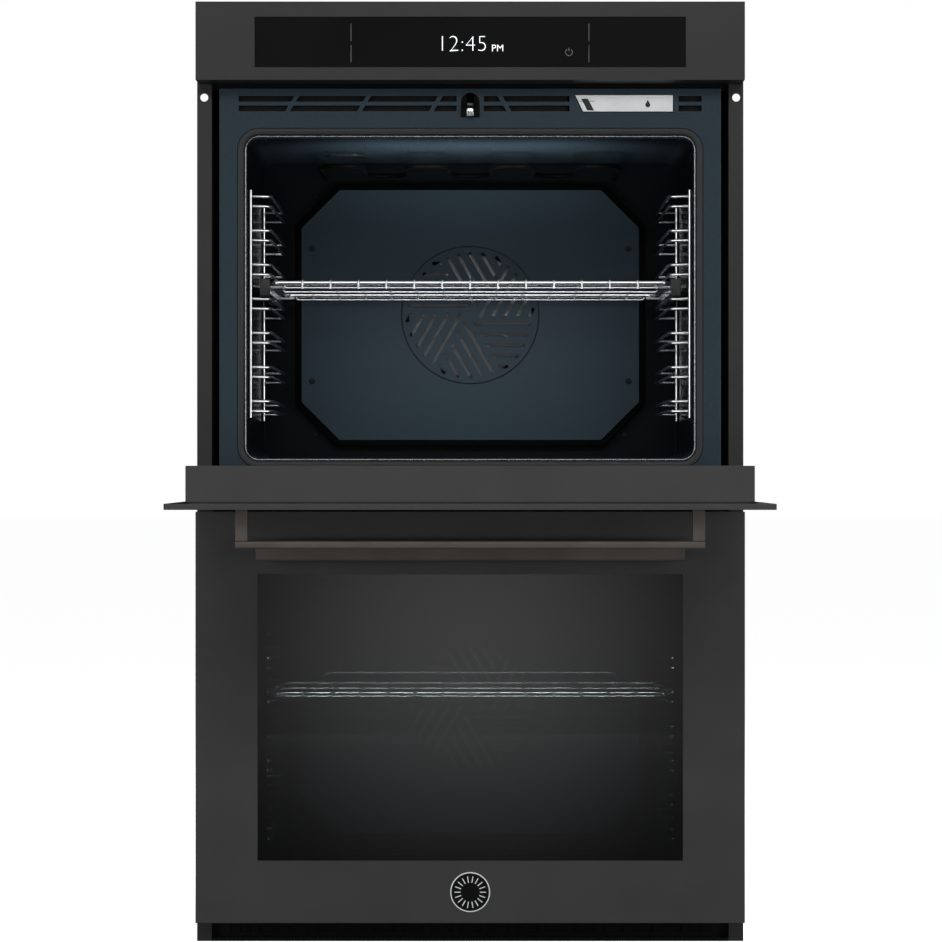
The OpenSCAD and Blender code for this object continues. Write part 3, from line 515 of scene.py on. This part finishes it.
def round_section(outward, depth, radius, sides=10):
    """A round section for a swept loop."""
    angles = [math.tau * i / sides for i in range(sides)]
    return [(outward + radius * math.cos(a), depth + radius * math.sin(a)) for a in angles]


def loop_piece(name, outline, section, centre, material, body):
    """A piece swept from a section along an outline."""
    made = new_object(name, mesh_of(name, lambda shape: build_loop(shape, outline, section, centre)))
    made.data.materials.append(material)
    smooth(made.data, 50)
    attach(made, body)
    return made


GASKET_WALL = 0.012
CAVITY_CORNER = 0.018
BEAD_IN, BEAD_DEPTH, BEAD_R = 0.0114, 0.0030, 0.0010
for label in ("upper", "lower"):
    low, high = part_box(f"{label}_gasket")
    centre = (low + high) / 2
    width, height = high.x - low.x, high.z - low.z
    outline = round_outline(width, height, CAVITY_CORNER + GASKET_WALL)
    front, back = low.y, high.y
    band = [(0, back), (0, front + 0.0022), (-0.0008, front + 0.0006), (-0.0028, front + 0.0002),
            (-0.0062, front + 0.0004), (-0.0084, front + 0.0012), (-0.0092, front + 0.0036),
            (-0.0116, front + 0.0044), (-0.0116, back)]
    seal = loop_piece(f"{label}_door_seal", outline, band, centre, seal_rubber, "chassis")
    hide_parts(f"{label}_gasket")
    bead = round_section(-BEAD_IN, front + BEAD_DEPTH, BEAD_R)
    loop_piece(f"{label}_seal_bead", outline, bead, centre, bright_steel, "chassis")

# Fan cover trim: a black strip of painted shadow where the eight-sided cover meets the cavity
# wall, for the shadow gap round it, and a thin black ring of painted shade round its grille,
# for the shade in its pressed groove.
shadow_black_paint, tree, shader = finish("painted_shadow_black", "#050607", 0.0, 0.7)
gloss_between(tree, shader, surface_noise(tree, 0.003), 0.6, 0.8)
COVER_CUT = 0.057
GRILLE_R = 0.103
SHADOW_GAP_WIDTH, RING_HALF_WIDTH = 0.0100, 0.0009


def eight_sided(width, height, cut):
    """A function of an outward offset that gives the points of a rectangle with cut corners."""
    def points(offset):
        w, h = width / 2 + offset, height / 2 + offset
        c = cut + offset * (2 - math.sqrt(2))
        upper = [(w, h - c), (w - c, h), (c - w, h), (-w, h - c)]
        return upper + [(x, -z) for x, z in reversed(upper)]
    return points


def circle_outline(radius, steps=96):
    """A function of an outward offset that gives a circle's points."""
    def points(offset):
        angles = [math.tau * i / steps for i in range(steps)]
        return [((radius + offset) * math.cos(a), (radius + offset) * math.sin(a)) for a in angles]
    return points


for label in ("upper", "lower"):
    low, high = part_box(f"{label}_baffle")
    centre = (low + high) / 2
    outline = eight_sided(high.x - low.x, high.z - low.z, COVER_CUT)
    groove = [(0.0004, low.y + 0.004), (SHADOW_GAP_WIDTH - 0.0010, low.y + 0.010), (SHADOW_GAP_WIDTH, low.y + 0.014),
              (SHADOW_GAP_WIDTH, high.y - 0.0005), (0.0004, high.y - 0.0005)]
    loop_piece(f"{label}_cover_shadow_gap", outline, groove, centre, shadow_black_paint, "chassis")
    ring = circle_outline(GRILLE_R)
    proud, sunk = low.y - 0.0001, low.y + 0.0006
    half = RING_HALF_WIDTH
    line = [(-half, proud), (half, proud), (half, sunk), (-half, sunk)]
    loop_piece(f"{label}_grille_ring", ring, line, centre, shadow_black_paint, "chassis")

# Heaters: round steel-sheathed elements, darkened with heat, and drawn nearly black as painted
# shade so that they sink into the shade at the back of the roof.
heater_steel, tree, shader = finish("heat_darkened_and_shaded_steel", "#1a1918", 0.6, 0.5)
shade_between(tree, shader, surface_noise(tree, 0.02), "#0b0b0b", "#121211")
for name in ("ring_elements", "grill_elements", "bake_elements"):
    for polygon in nodes[name].data.polygons:
        polygon.use_smooth = True
    coat(heater_steel, name)

# Fans, motors, the cooling blower and the steam generator: pressed and plated steel.
black_wheel, tree, shader = finish("black_nylon_wheel", "#161617", 0.0, 0.55)
gloss_between(tree, shader, surface_noise(tree, 0.004), 0.48, 0.62)
coat(galvanised, "fan_motors", "upper_fan", "lower_fan", "blower_housing", "steam_generator")
coat(black_wheel, "blower_wheel")

# Cavity lamps: smoked glass lenses in the roof, in the tone of the enamel.
lamp_glass, tree, shader = finish("smoked_lamp_glass", "#2b343b", 0.0, 0.2)
gloss_between(tree, shader, surface_noise(tree, 0.003), 0.16, 0.26)
coat(lamp_glass, "cavity_lamps")

# Side racks: chrome-plated wire ladders hung on each cavity wall, seven levels of two
# guide wires, each bent out from the uprights and welded to them.
chrome, tree, shader = finish("bright_chrome_wire", "#e9ebed", 1.0, 0.2)
gloss_between(tree, shader, surface_noise(tree, 0.006), 0.16, 0.24)


def new_group(name, output, **inputs):
    """A geometry group whose inputs are given by kind; returns it and its inputs' sockets."""
    tree = bpy.data.node_groups.new(name, "GeometryNodeTree")
    for socket, kind in inputs.items():
        tree.interface.new_socket(socket, in_out="INPUT", socket_type="NodeSocket" + kind)
    tree.interface.new_socket(output, in_out="OUTPUT", socket_type="NodeSocketGeometry")
    return tree, add(tree, "NodeGroupInput").outputs


def plated_copies(tree, points, piece, metal, **turn):
    """The piece on each point, as one real mesh in one metal."""
    copies = add(tree, "GeometryNodeInstanceOnPoints", {"Points": points, "Instance": piece, **turn})
    real = add(tree, "GeometryNodeRealizeInstances", {"Geometry": copies.outputs[0]})
    plated = add(tree, "GeometryNodeSetMaterial", {"Geometry": real.outputs[0], "Material": metal})
    return plated.outputs[0]


def wire_tree():
    """Bends a path of straight lines, makes it a round wire, and repeats it in a row."""
    tree, given = new_group("bent_wire_row", "Wires", Path="Geometry", Radius="Float", Bend="Float",
                            Copies="Int", Step="Vector", Metal="Material")
    path = add(tree, "GeometryNodeMeshToCurve", {"Mesh": given["Path"]})
    bent = add(tree, "GeometryNodeFilletCurve", {
        "Curve": path.outputs[0], "Radius": given["Bend"], "Limit Radius": True, "Count": 6}, mode="POLY")
    ring = add(tree, "GeometryNodeCurvePrimitiveCircle", {"Resolution": 12, "Radius": given["Radius"]})
    wire = add(tree, "GeometryNodeCurveToMesh", {
        "Curve": bent.outputs[0], "Profile Curve": ring.outputs[0], "Fill Caps": True})
    row = add(tree, "GeometryNodeMeshLine", {"Count": given["Copies"], "Offset": given["Step"]})
    wires_out = plated_copies(tree, row.outputs[0], wire.outputs[0], given["Metal"])
    add(tree, "NodeGroupOutput", {"Wires": wires_out})
    return tree


def grown(name, seed, tree, inputs):
    """The plain mesh that a tree makes from a seed mesh."""
    made = new_object(name, seed)
    modifier = made.modifiers.new(name, "NODES")
    modifier.node_group = tree
    for socket in tree.interface.items_tree:
        if socket.in_out == "INPUT" and socket.name in inputs:
            modifier[socket.identifier] = inputs[socket.name]
    mesh = final_mesh(made)
    bpy.data.objects.remove(made)
    return mesh


def build_paths(shape, paths, closed):
    """Edges along each path of points."""
    for path in paths:
        points = [shape.verts.new(p) for p in path]
        for a, b in zip(points, points[1:] + points[:1] if closed else points[1:]):
            shape.edges.new((a, b))


WIRE_ROW = wire_tree()


def wires(paths, radius, bend=0.004, copies=1, step=(0, 0, 0), metal=chrome, closed=False):
    """Round wires along paths, repeated in a row."""
    seed = mesh_of("wire_path", lambda shape: build_paths(shape, paths, closed))
    inputs = {"Radius": radius, "Bend": bend, "Copies": copies, "Step": step, "Metal": metal}
    return grown("wire", seed, WIRE_ROW, inputs)


def joined(name, meshes, body, replaces=(), angle=60):
    """One piece from several meshes."""
    shape, materials = bmesh.new(), []
    for mesh in meshes:
        start = len(shape.faces)
        shape.from_mesh(mesh)
        material = mesh.materials[-1]
        if material not in materials:
            materials.append(material)
        shape.faces.ensure_lookup_table()
        for face in shape.faces[start:]:
            face.material_index = materials.index(material)
    mesh = bpy.data.meshes.new(name)
    shape.to_mesh(mesh)
    shape.free()
    for material in materials:
        mesh.materials.append(material)
    smooth(mesh, angle)
    made = new_object(name, mesh)
    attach(made, body)
    if replaces:
        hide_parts(*replaces)
    return made


LEVELS, LEVEL_PITCH, PAIR_GAP = 7, 0.0477, 0.0138
GUIDE_IN, GUIDE_R, UPRIGHT_R = 0.029, 0.0022, 0.003
REAR_UPRIGHT_IN = 0.041
FIRST_LEVEL_UP = 0.010
for label in ("upper", "lower"):
    low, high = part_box(f"{label}_side_racks")
    first, front, back = low.z + FIRST_LEVEL_UP, low.y + UPRIGHT_R, high.y
    parts = []
    for side in (-1, 1):
        wall = side * (high.x - UPRIGHT_R)
        inner = wall - side * GUIDE_IN
        rear = back - REAR_UPRIGHT_IN
        uprights = [[(wall, y, low.z + 0.001), (wall, y, high.z - 0.001)] for y in (front, rear)]
        parts.append(wires(uprights, UPRIGHT_R))
        start = wall - side * 0.002
        levels = (first, first + PAIR_GAP)
        pair = [[(start, front, z), (inner, front + 0.009, z), (inner, back, z)] for z in levels]
        legs = [[(wall, rear, z), (inner + side * 0.001, rear, z)] for z in levels]
        for paths, bend in ((pair, 0.009), (legs, 0.003)):
            parts.append(wires(paths, GUIDE_R, bend, LEVELS, (0, 0, LEVEL_PITCH)))
    joined(f"{label}_rack_ladders", parts, "chassis", [f"{label}_side_racks"])

# Telescopic rails: black fixed channels clipped to level four, and plated slides that
# run in them, each closed in front by a black end cap.
softened("rail_channels", "rail_brackets", black_coat, 0.0004)
softened("rail_runners", "rail_slides", chrome, 0.0004)
rail_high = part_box("rail_brackets")[1]
slide_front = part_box("rail_slides")[0].y
CAP_WIDTH, CAP_DEPTH, CAP_HEIGHT = 0.0145, 0.006, 0.0245


def build_caps(shape):
    """A block with round edges in front of each slide."""
    for side in (-1, 1):
        low_x, high_x = sorted((side * (rail_high.x - CAP_WIDTH), side * rail_high.x))
        verts = add_block(shape, (low_x, slide_front - CAP_DEPTH, rail_high.z - CAP_HEIGHT),
                          (high_x, slide_front - 0.0004, rail_high.z))
        edges = list({edge for vert in verts for edge in vert.link_edges})
        bmesh.ops.bevel(shape, geom=edges, offset=0.0018, segments=3, affect="EDGES", profile=0.5)


caps_mesh = mesh_of("rail_end_caps", build_caps)
caps_mesh.materials.append(box_plastic)
joined("rail_end_caps", [caps_mesh], "shelf_rails", angle=30)


# Wire racks: a thick bent frame, thinner wires laid across it and turned down over its
# ends, and a second thin rail below the first at front and back; all chrome plated.
def rack_parts(low, high, stop):
    """A rack's wires between two corners; a stop is a raised guard of that height at the back."""
    bar, thin, rail, beam, guard = 0.0036, 0.0017, 0.0016, 0.0025, 0.0022
    inset, weld = 0.0038, 0.0006
    side, front, back = high.x - bar, low.y + inset, high.y - inset
    level = low.z + inset
    top = level + bar + thin - 0.0014
    nose, tail, drop = front - bar - thin + weld, back + bar + thin - weld, level - 0.0083
    pitch = 0.039
    count = 2 * int((side - 0.014) / pitch) + 1
    first = -pitch * (count - 1) / 2
    frame_path = [(-side, front, level), (side, front, level), (side, back, level), (-side, back, level)]
    cross = [(first, nose, drop), (first, nose, top), (first, tail, top), (first, tail, drop)]
    join, hang = level - 0.001, level - 0.0068
    lower_rails = [[(-side + 0.012, y, join), (-side + 0.016, y, hang), (side - 0.016, y, hang),
                    (side - 0.012, y, join)] for y in (front, back)]
    beams = [[(-side, y, join), (side, y, join)] for y in (front + (back - front) * i / 3 for i in (1, 2))]
    parts = [
        wires([frame_path], bar, 0.006, closed=True),
        wires([cross], thin, 0.003, count, (pitch, 0, 0)),
        wires(lower_rails, rail, 0.004),
        wires(beams, beam),
    ]
    if stop:
        half, crown = 0.2135, level + stop
        foot = half + 0.012
        arch = [(-foot, back, level), (-half, back, crown), (half, back, crown), (foot, back, level)]
        parts.append(wires([arch], guard, 0.012))
    return parts


for label, stop in (("upper", 0), ("lower", 0.016)):
    parts = rack_parts(*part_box(f"{label}_rack"), stop)
    joined(f"{label}_wire_rack", parts, f"{label}_shelf", [f"{label}_rack"])

# Level numbers, pressed lightly into the frame beside each guide.
NUMBER_X, NUMBER_SIZE = 0.3310, 0.0170
number_mark, tree, shader = finish("pressed_number", "#222a30", 0.0, 0.3)
shade_between(tree, shader, surface_noise(tree, 0.003), "#1f272d", "#262e35")
lowest_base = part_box("upper_side_racks")[0].z + FIRST_LEVEL_UP + PAIR_GAP / 2 - 0.006
digits = []
for level in range(LEVELS):
    digit = flat_text(f"level_number_{level + 1}", str(level + 1), NUMBER_SIZE, NUMBER_X,
                      lowest_base + level * LEVEL_PITCH, FRAME_FRONT - 0.0001, 0.0003, number_mark)
    digits.append(digit.data)
    bpy.data.objects.remove(digit)
joined("level_numbers", digits, "chassis", angle=30)

# Door locks: a housing behind each arch in the frame, in a dead black of painted shade that
# keeps it out of sight, and a bright steel hook on a pin that reaches into the door.
softened("lock_housings", "latch_housings", dead_black_shade, 0.0005)


def build_hook(shape, low, high):
    """The hook's side profile round its pivot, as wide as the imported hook."""
    pivot_y, pivot_z = high.y - 0.006, high.z - 0.006
    profile = [(-0.038, -0.0165), (-0.0335, -0.0165), (-0.033, -0.0055), (-0.005, -0.005), (0.002, -0.0055),
               (0.0058, 0), (0.002, 0.0056), (-0.004, 0.0048), (-0.028, 0.003), (-0.0315, 0.002),
               (-0.0325, -0.001), (-0.0345, -0.0025), (-0.0362, -0.0058), (-0.038, -0.0062)]
    rings = [[shape.verts.new((x, pivot_y + y, pivot_z + z)) for y, z in profile] for x in (low.x, high.x)]
    for i in range(len(profile)):
        k = (i + 1) % len(profile)
        shape.faces.new((rings[0][i], rings[0][k], rings[1][k], rings[1][i]))
    shape.faces.new(rings[0][::-1])
    shape.faces.new(rings[1])
    bmesh.ops.recalc_face_normals(shape, faces=shape.faces)
    sharp = [edge for edge in shape.edges if edge.calc_face_angle(0) > HOOK_SHARP]
    bmesh.ops.bevel(shape, geom=sharp, offset=0.0005, segments=2, affect="EDGES", profile=0.5)


HOOK_SHARP = 1.2
hook_steel, tree, shader = finish("polished_hook_steel", "#d8dadb", 1.0, 0.22)
gloss_between(tree, shader, surface_noise(tree, 0.004), 0.18, 0.3)
for label in ("upper", "lower"):
    low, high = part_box(f"{label}_latch_hook")
    hook_mesh = mesh_of(f"{label}_hook", lambda shape: build_hook(shape, low, high))
    hook_mesh.materials.append(hook_steel)
    joined(f"{label}_lock_hook", [hook_mesh], f"{label}_latch", [f"{label}_latch_hook"], 30)

# Water tank: a moulded pale tank with a slanted end to its front and a dark level
# window; it slides in a black guide behind the frame.
tank_plastic, tree, shader = finish("pale_moulded_tank", "#f6f8f8", 0.0, 0.38, subsurface_weight=0.05)
shade_between(tree, shader, surface_noise(tree, 0.03), "#f3f5f5", "#fbfcfc")
raise_by(tree, shader, surface_noise(tree, 0.0012), 0.00006, 0.3)
window_tint, tree, shader = finish("smoked_level_window", "#33373a", 0.0, 0.12)
shade_between(tree, shader, surface_noise(tree, 0.02), "#2d3134", "#3a3e41")
softened("water_tank_moulded", "water_tank", tank_plastic, 0.0005)
coat(box_plastic, "tank_guide")
tank_low, tank_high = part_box("water_tank")


def add_prism(shape, outline, front, back):
    """A closed prism from an outline of (x, z) points between two depths."""
    faces = [[shape.verts.new((x, y, z)) for x, z in outline] for y in (front, back)]
    for i in range(len(outline)):
        k = (i + 1) % len(outline)
        shape.faces.new((faces[0][i], faces[0][k], faces[1][k], faces[1][i]))
    shape.faces.new(faces[0])
    shape.faces.new(faces[1][::-1])
    bmesh.ops.recalc_face_normals(shape, faces=shape.faces)


DROP_X, DROP_Z, DROP_R = 0.1010, -0.0138, 0.0034


def build_level_window(shape):
    """The slanted window, the level line across it, and a drop sign, from the front's top left."""
    slant = [(0.0085, -0.0052), (0.0175, -0.0052), (0.0262, -0.0215), (0.0170, -0.0215)]
    line = [(0.0058, -0.0084), (0.0268, -0.0084), (0.0268, -0.0090), (0.0058, -0.0090)]
    turns = [math.radians(a) for a in range(-120, 121, 20)]
    drop = [(DROP_X + DROP_R * math.sin(a), DROP_Z - DROP_R * math.cos(a)) for a in turns]
    drop.append((DROP_X, DROP_Z + 0.0070))
    for outline, proud, sunk in ((slant, 0.0004, 0.0004), (line, 0.0006, 0.0002), (drop, 0.0002, 0.0002)):
        placed = [(tank_low.x + x, tank_high.z + z) for x, z in outline]
        add_prism(shape, placed, tank_low.y - proud, tank_low.y + sunk)


level_window = new_object("tank_level_window", mesh_of("tank_level_window", build_level_window))
level_window.data.materials.append(window_tint)
mark(level_window, "tank")

# Doors: a folded, powder-coated skin over an inner steel box, with a tinted window
# pane, two inner panes, and hinge cases with their spring rods inside.
for label in ("upper", "lower"):
    softened(f"{label}_door_front", f"{label}_door_skin", door_coat, 0.0007)
    softened(f"{label}_door_body", f"{label}_door_box", door_coat, 0.0005)

# Solar-grey float glass in front, dark, but the lit oven still shows through it; almost
# clear, heat-reflecting panes behind.
for name, colour, shine, pane in (
        ("grey_tinted_glass", "#7c7f80", 0.1, "door_glass"),
        ("heat_reflecting_glass", "#dfe4e4", 0.12, "inner_panes")):
    glass, tree, shader = finish(name, colour, 0.0, 0.02, transmission_weight=1.0, specular_ior_level=shine)
    gloss_between(tree, shader, surface_noise(tree, 0.05), 0.0, 0.02)
    coat(glass, f"upper_{pane}", f"lower_{pane}")
coat(galvanised, "upper_hinge_cases", "lower_hinge_cases", "upper_spring_rods", "lower_spring_rods")

# Handles: flat aluminium bars on two posts, coated in a warm dark grey.
handle_coat, tree, shader = finish("warm_grey_coated_bar", "#544c46", 0.1, 0.4)
shade_between(tree, shader, surface_noise(tree, 0.06), "#4f4742", "#58504a")
gloss_between(tree, shader, surface_noise(tree, 0.0015, 3, (0.1, 1, 1)), 0.34, 0.44)
for label in ("upper", "lower"):
    softened(f"{label}_door_handle", f"{label}_handle", handle_coat, 0.001)

# Badge: a plain round plate with a bright rim, a black ground and a ring of small rays.
badge_low, badge_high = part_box("badge")
badge_mid = (badge_low + badge_high) / 2
GROUND_R, GROUND_THICK = 0.0259, 0.0012
RAYS, RAY_RING_R, RAY_SIZE = 18, 0.0176, (0.0086, 0.0013, 0.0008)
pale_lacquer, tree, shader = finish("pale_badge_lacquer", "#f4f5f5", 0.0, 0.35)
shade_between(tree, shader, surface_noise(tree, 0.004), "#eff0f0", "#f8f9f9")
softened("round_badge_plate", "badge", pale_lacquer, 0.0003)


def build_badge_ground(shape):
    """A thin round plate that faces the front."""
    place = Matrix.Translation((badge_mid.x, badge_low.y + 0.0004, badge_mid.z))
    bmesh.ops.create_cone(shape, cap_ends=True, segments=64, radius1=GROUND_R, radius2=GROUND_R,
                          depth=GROUND_THICK, matrix=place @ Matrix.Rotation(math.radians(90), 4, "X"))


badge_ground = new_object("badge_ground", mesh_of("badge_ground", build_badge_ground))
badge_ground.data.materials.append(black_coat)
mark(badge_ground, "lower_door")


def ray_tree():
    """Small raised rays in a ring about a place, in a plane that faces the front."""
    tree, given = new_group("badge_rays", "Rays", Seed="Geometry", Count="Int", Radius="Float",
                            Size="Vector", Place="Vector", Metal="Material")
    ring = add(tree, "GeometryNodeMeshCircle", {"Vertices": given["Count"], "Radius": given["Radius"]})
    ray = add(tree, "GeometryNodeMeshCube", {"Size": given["Size"]})
    where = add(tree, "GeometryNodeInputPosition").outputs[0]
    turn = add(tree, "FunctionNodeAlignRotationToVector", {"Vector": where}, axis="X", pivot_axis="Z")
    flat = plated_copies(tree, ring.outputs[0], ray.outputs[0], given["Metal"], Rotation=turn.outputs[0])
    stood = add(tree, "GeometryNodeTransform", {
        "Geometry": flat, "Translation": given["Place"], "Rotation": (math.radians(90), 0, 0)})
    add(tree, "NodeGroupOutput", {"Rays": stood.outputs[0]})
    return tree


ray_place = (badge_mid.x, badge_low.y - 0.0002, badge_mid.z)
ray_inputs = {
    "Count": RAYS, "Radius": RAY_RING_R, "Size": RAY_SIZE, "Place": ray_place, "Metal": pale_lacquer}
rays = grown("badge_rays", bpy.data.meshes.new("seed"), ray_tree(), ray_inputs)
joined("badge_rays", [rays], "lower_door", angle=30)


# Screws: blackened pan heads with a cross recess on the fan covers, and plated ones on
# the back panel.
HEAD_R, HEAD_H = 0.0045, 0.0024
HEAD_TOP, RECESS_WIDTH = 0.72, 0.24
FACING_FRONT, FACING_BACK = (math.radians(90), 0, 0), (math.radians(-90), 0, 0)


def screw_tree():
    """A pan head with a cross recess on each point of the seed, its top towards the given turn."""
    tree, given = new_group("cross_head_screws", "Screws", Places="Geometry", Radius="Float",
                            Height="Float", Turn="Rotation", Metal="Material")
    radius, height = given["Radius"], given["Height"]
    top = add(tree, "ShaderNodeMath", {0: radius, 1: HEAD_TOP}, operation="MULTIPLY").outputs[0]
    head = add(tree, "GeometryNodeMeshCone", {
        "Vertices": 24, "Radius Top": top, "Radius Bottom": radius, "Depth": height})
    cut = add(tree, "GeometryNodeMeshBoolean", {"Mesh 1": head.outputs[0]}, operation="DIFFERENCE")
    narrow = add(tree, "ShaderNodeMath", {0: radius, 1: RECESS_WIDTH}, operation="MULTIPLY").outputs[0]
    lift = add(tree, "ShaderNodeCombineXYZ", {"Z": height}).outputs[0]
    for x, y in ((radius, narrow), (narrow, radius)):
        size = add(tree, "ShaderNodeCombineXYZ", {"X": x, "Y": y, "Z": height}).outputs[0]
        bar = add(tree, "GeometryNodeMeshCube", {"Size": size}).outputs[0]
        raised = add(tree, "GeometryNodeTransform", {"Geometry": bar, "Translation": lift}).outputs[0]
        tree.links.new(raised, cut.inputs["Mesh 2"])
    screws_out = plated_copies(tree, given["Places"], cut.outputs[0], given["Metal"], Rotation=given["Turn"])
    add(tree, "NodeGroupOutput", {"Screws": screws_out})
    return tree


SCREWS = screw_tree()
black_steel, tree, shader = finish("blackened_screw_steel", "#08090a", 0.0, 0.55)
gloss_between(tree, shader, surface_noise(tree, 0.002), 0.5, 0.62)


def screws(places, turn, metal):
    """A screw head on each place."""
    seed = bpy.data.meshes.new("screw_places")
    seed.from_pydata(places, [], [])
    inputs = {"Radius": HEAD_R, "Height": HEAD_H, "Turn": turn, "Metal": metal}
    return grown("screws", seed, SCREWS, inputs)


front_places = []
for label in ("upper", "lower"):
    low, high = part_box(f"{label}_baffle")
    middle = (low + high) / 2
    half_x, half_z = (high.x - low.x) / 2, (high.z - low.z) / 2
    for x in (-1, 1):
        for z in (-1, 1):
            front_places.append((x * (half_x - 0.0155), low.y, middle.z + z * (half_z - 0.088)))
            front_places.append((x * (half_x - 0.0205), high.y, middle.z + z * (half_z - 0.0085)))
back_low, back_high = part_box("back_panel")
back_heights = [0.020 + i * (back_high.z - 0.040) / 4 for i in range(5)]
back_places = [(x, back_high.y, z) for x in (back_low.x + 0.012, back_high.x - 0.012) for z in back_heights]
heads = [screws(front_places, FACING_FRONT, black_steel), screws(back_places, FACING_BACK, galvanised)]
joined("panel_screw_heads", heads, "chassis", ["panel_screws"], 30)

# Oven lights: soft light inside both ovens, with one that washes the upper roof. Only the
# lower oven's is mirrored, by the chrome rack that shows through the window.
for name, place, target, wide, watts in (
        ("upper_oven_glow", (0, -0.24, 0.86), (0, 0.10, 0.73), 0.34, 0.25),
        ("upper_roof_glow", (0, -0.24, 0.95), (0, -0.12, 1.117), 0.34, 0.7),
        ("lower_oven_glow", (0, -0.24, 0.46), (0, -0.16, 0.33), 0.54, 0.8)):
    glow = softbox(name, place, target, wide, 0.12, watts)
    glow.visible_transmission = False
    glow.visible_glossy = name == "lower_oven_glow"
    glow.data.spread = math.radians(100)
